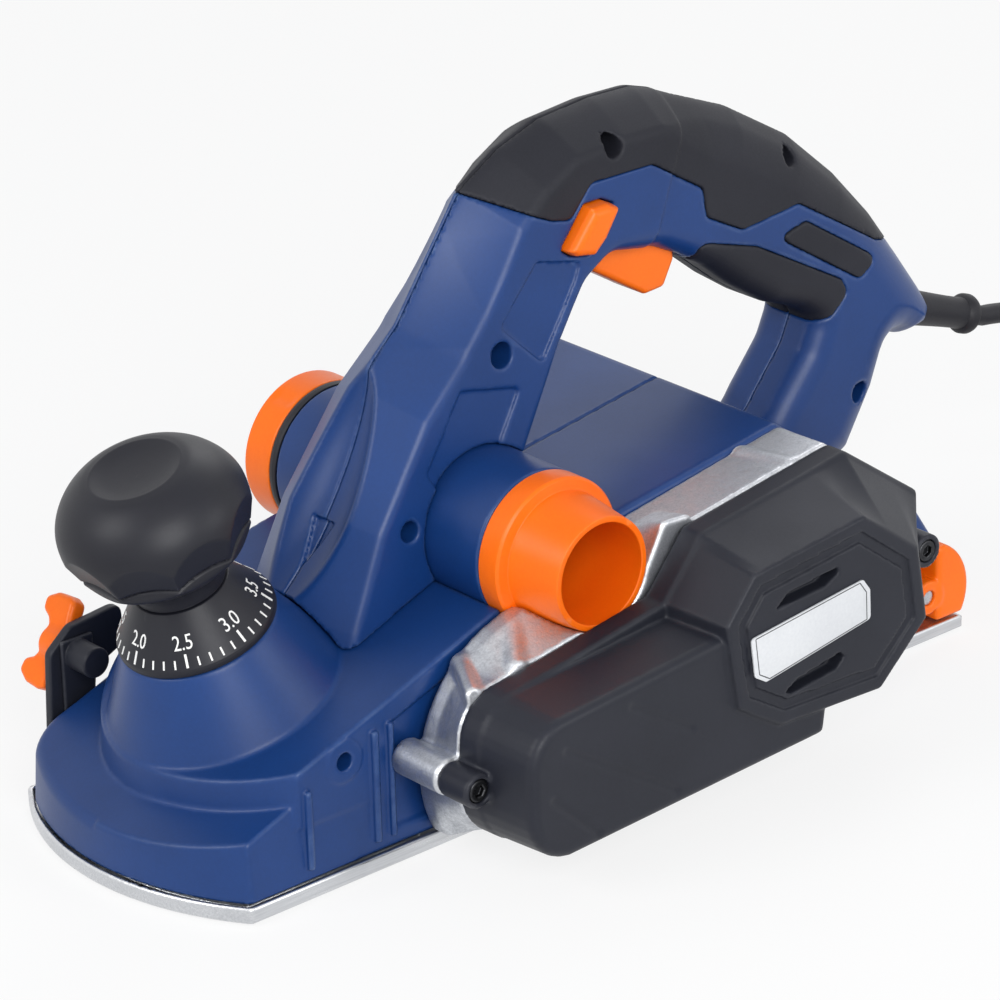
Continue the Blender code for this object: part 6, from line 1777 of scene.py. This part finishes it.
def makeScrewTree():
    tree, start, end = newTree(
        "screwSet",
        [
            ("Pattern", "NodeSocketObject", None), ("Size", "NodeSocketFloat", 1.0),
            ("Metal", "NodeSocketMaterial", None),
        ],
    )
    source = tree.nodes.new("GeometryNodeObjectInfo")
    tree.links.new(start.outputs["Pattern"], source.inputs["Object"])
    spread = tree.nodes.new("GeometryNodeInstanceOnPoints")
    tree.links.new(start.outputs["Geometry"], spread.inputs["Points"])
    tree.links.new(source.outputs["Geometry"], spread.inputs["Instance"])
    size = tree.nodes.new("ShaderNodeCombineXYZ")
    for slot in range(3):
        tree.links.new(start.outputs["Size"], size.inputs[slot])
    tree.links.new(size.outputs[0], spread.inputs["Scale"])
    number = tree.nodes.new("GeometryNodeInputIndex").outputs[0]
    turn = tree.nodes.new("ShaderNodeCombineXYZ")
    tree.links.new(addMath(tree, "MULTIPLY", number, 0.37), turn.inputs[1])
    tree.links.new(turn.outputs[0], spread.inputs["Rotation"])
    real = tree.nodes.new("GeometryNodeRealizeInstances")
    tree.links.new(spread.outputs["Instances"], real.inputs["Geometry"])
    metal = tree.nodes.new("GeometryNodeSetMaterial")
    tree.links.new(real.outputs["Geometry"], metal.inputs["Geometry"])
    tree.links.new(start.outputs["Metal"], metal.inputs["Material"])
    tree.links.new(metal.outputs["Geometry"], end.inputs["Geometry"])
    return tree


def screwForm(x, y, z):
    reach = np.hypot(x, z)
    head = roundMax(reach - 3.6, slab(y, 0.0, 2.6), 0.5)
    socket = np.maximum(np.maximum(np.abs(x) * 0.866 + np.abs(z) * 0.5, np.abs(z)) - 1.75, 1.0 - y)
    shank = np.maximum(reach - 2.1, slab(y, -18.0, 1.0))
    return np.minimum(roundMax(head, -socket, 0.2), shank)


def makeScrews(settings):
    tree = makeScrewTree()
    for name, size, nodes in (
        ("cover", 1.0, ["cover_screw_1", "cover_screw_2", "cover_screw_3"]),
        ("shell", 0.78, ["shell_screw_1", "shell_screw_2", "shell_screw_3", "shell_screw_4"]),
    ):
        pattern = carved(name + "ScrewPattern", screwForm, (-4, -18.5, -4), (4, 3, 4), 0.4, "darkSteel")
        mesh = bpy.data.meshes.new(name + "Screws")
        mesh.from_pydata([Vector(p) * millimetre for p in settings[name]], [], [])
        holder = bpy.data.objects.new(name + "ScrewPoints", mesh)
        bpy.context.collection.objects.link(holder)
        screws = runTree(
            name + "Screws", tree, {"Pattern": pattern, "Size": size, "Metal": finishes["darkSteel"]}, holder,
        )
        bpy.data.objects.remove(pattern)
        settle(screws, "body", "dark_steel", *nodes)


makeScrews(screwSettings)
print("screws ready")

# inner pieces keep their own shape and take a finish
innerFinishes = {
    "blue_plastic": "bluePlastic", "black_plastic": "blackPlastic", "soft_grip": "softGrip", "orange_plastic": "orangePlastic",
    "cast_aluminium": "castAluminium", "bright_steel": "brightSteel", "dark_steel": "darkSteel", "copper": "windingCopper",
    "motor_core": "motorCore", "black_rubber": "leadRubber", "plain_plate": "plateFoil",
}
for nodeName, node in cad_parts.items():
    for slotItem in node.material_slots:
        base = slotItem.material.name.split(".")[0] if slotItem.material else ""
        slotItem.material = finishes[innerFinishes.get(base, "darkSteel")]
print("inner pieces finished")

print("pieces:", len(bodyPieces))
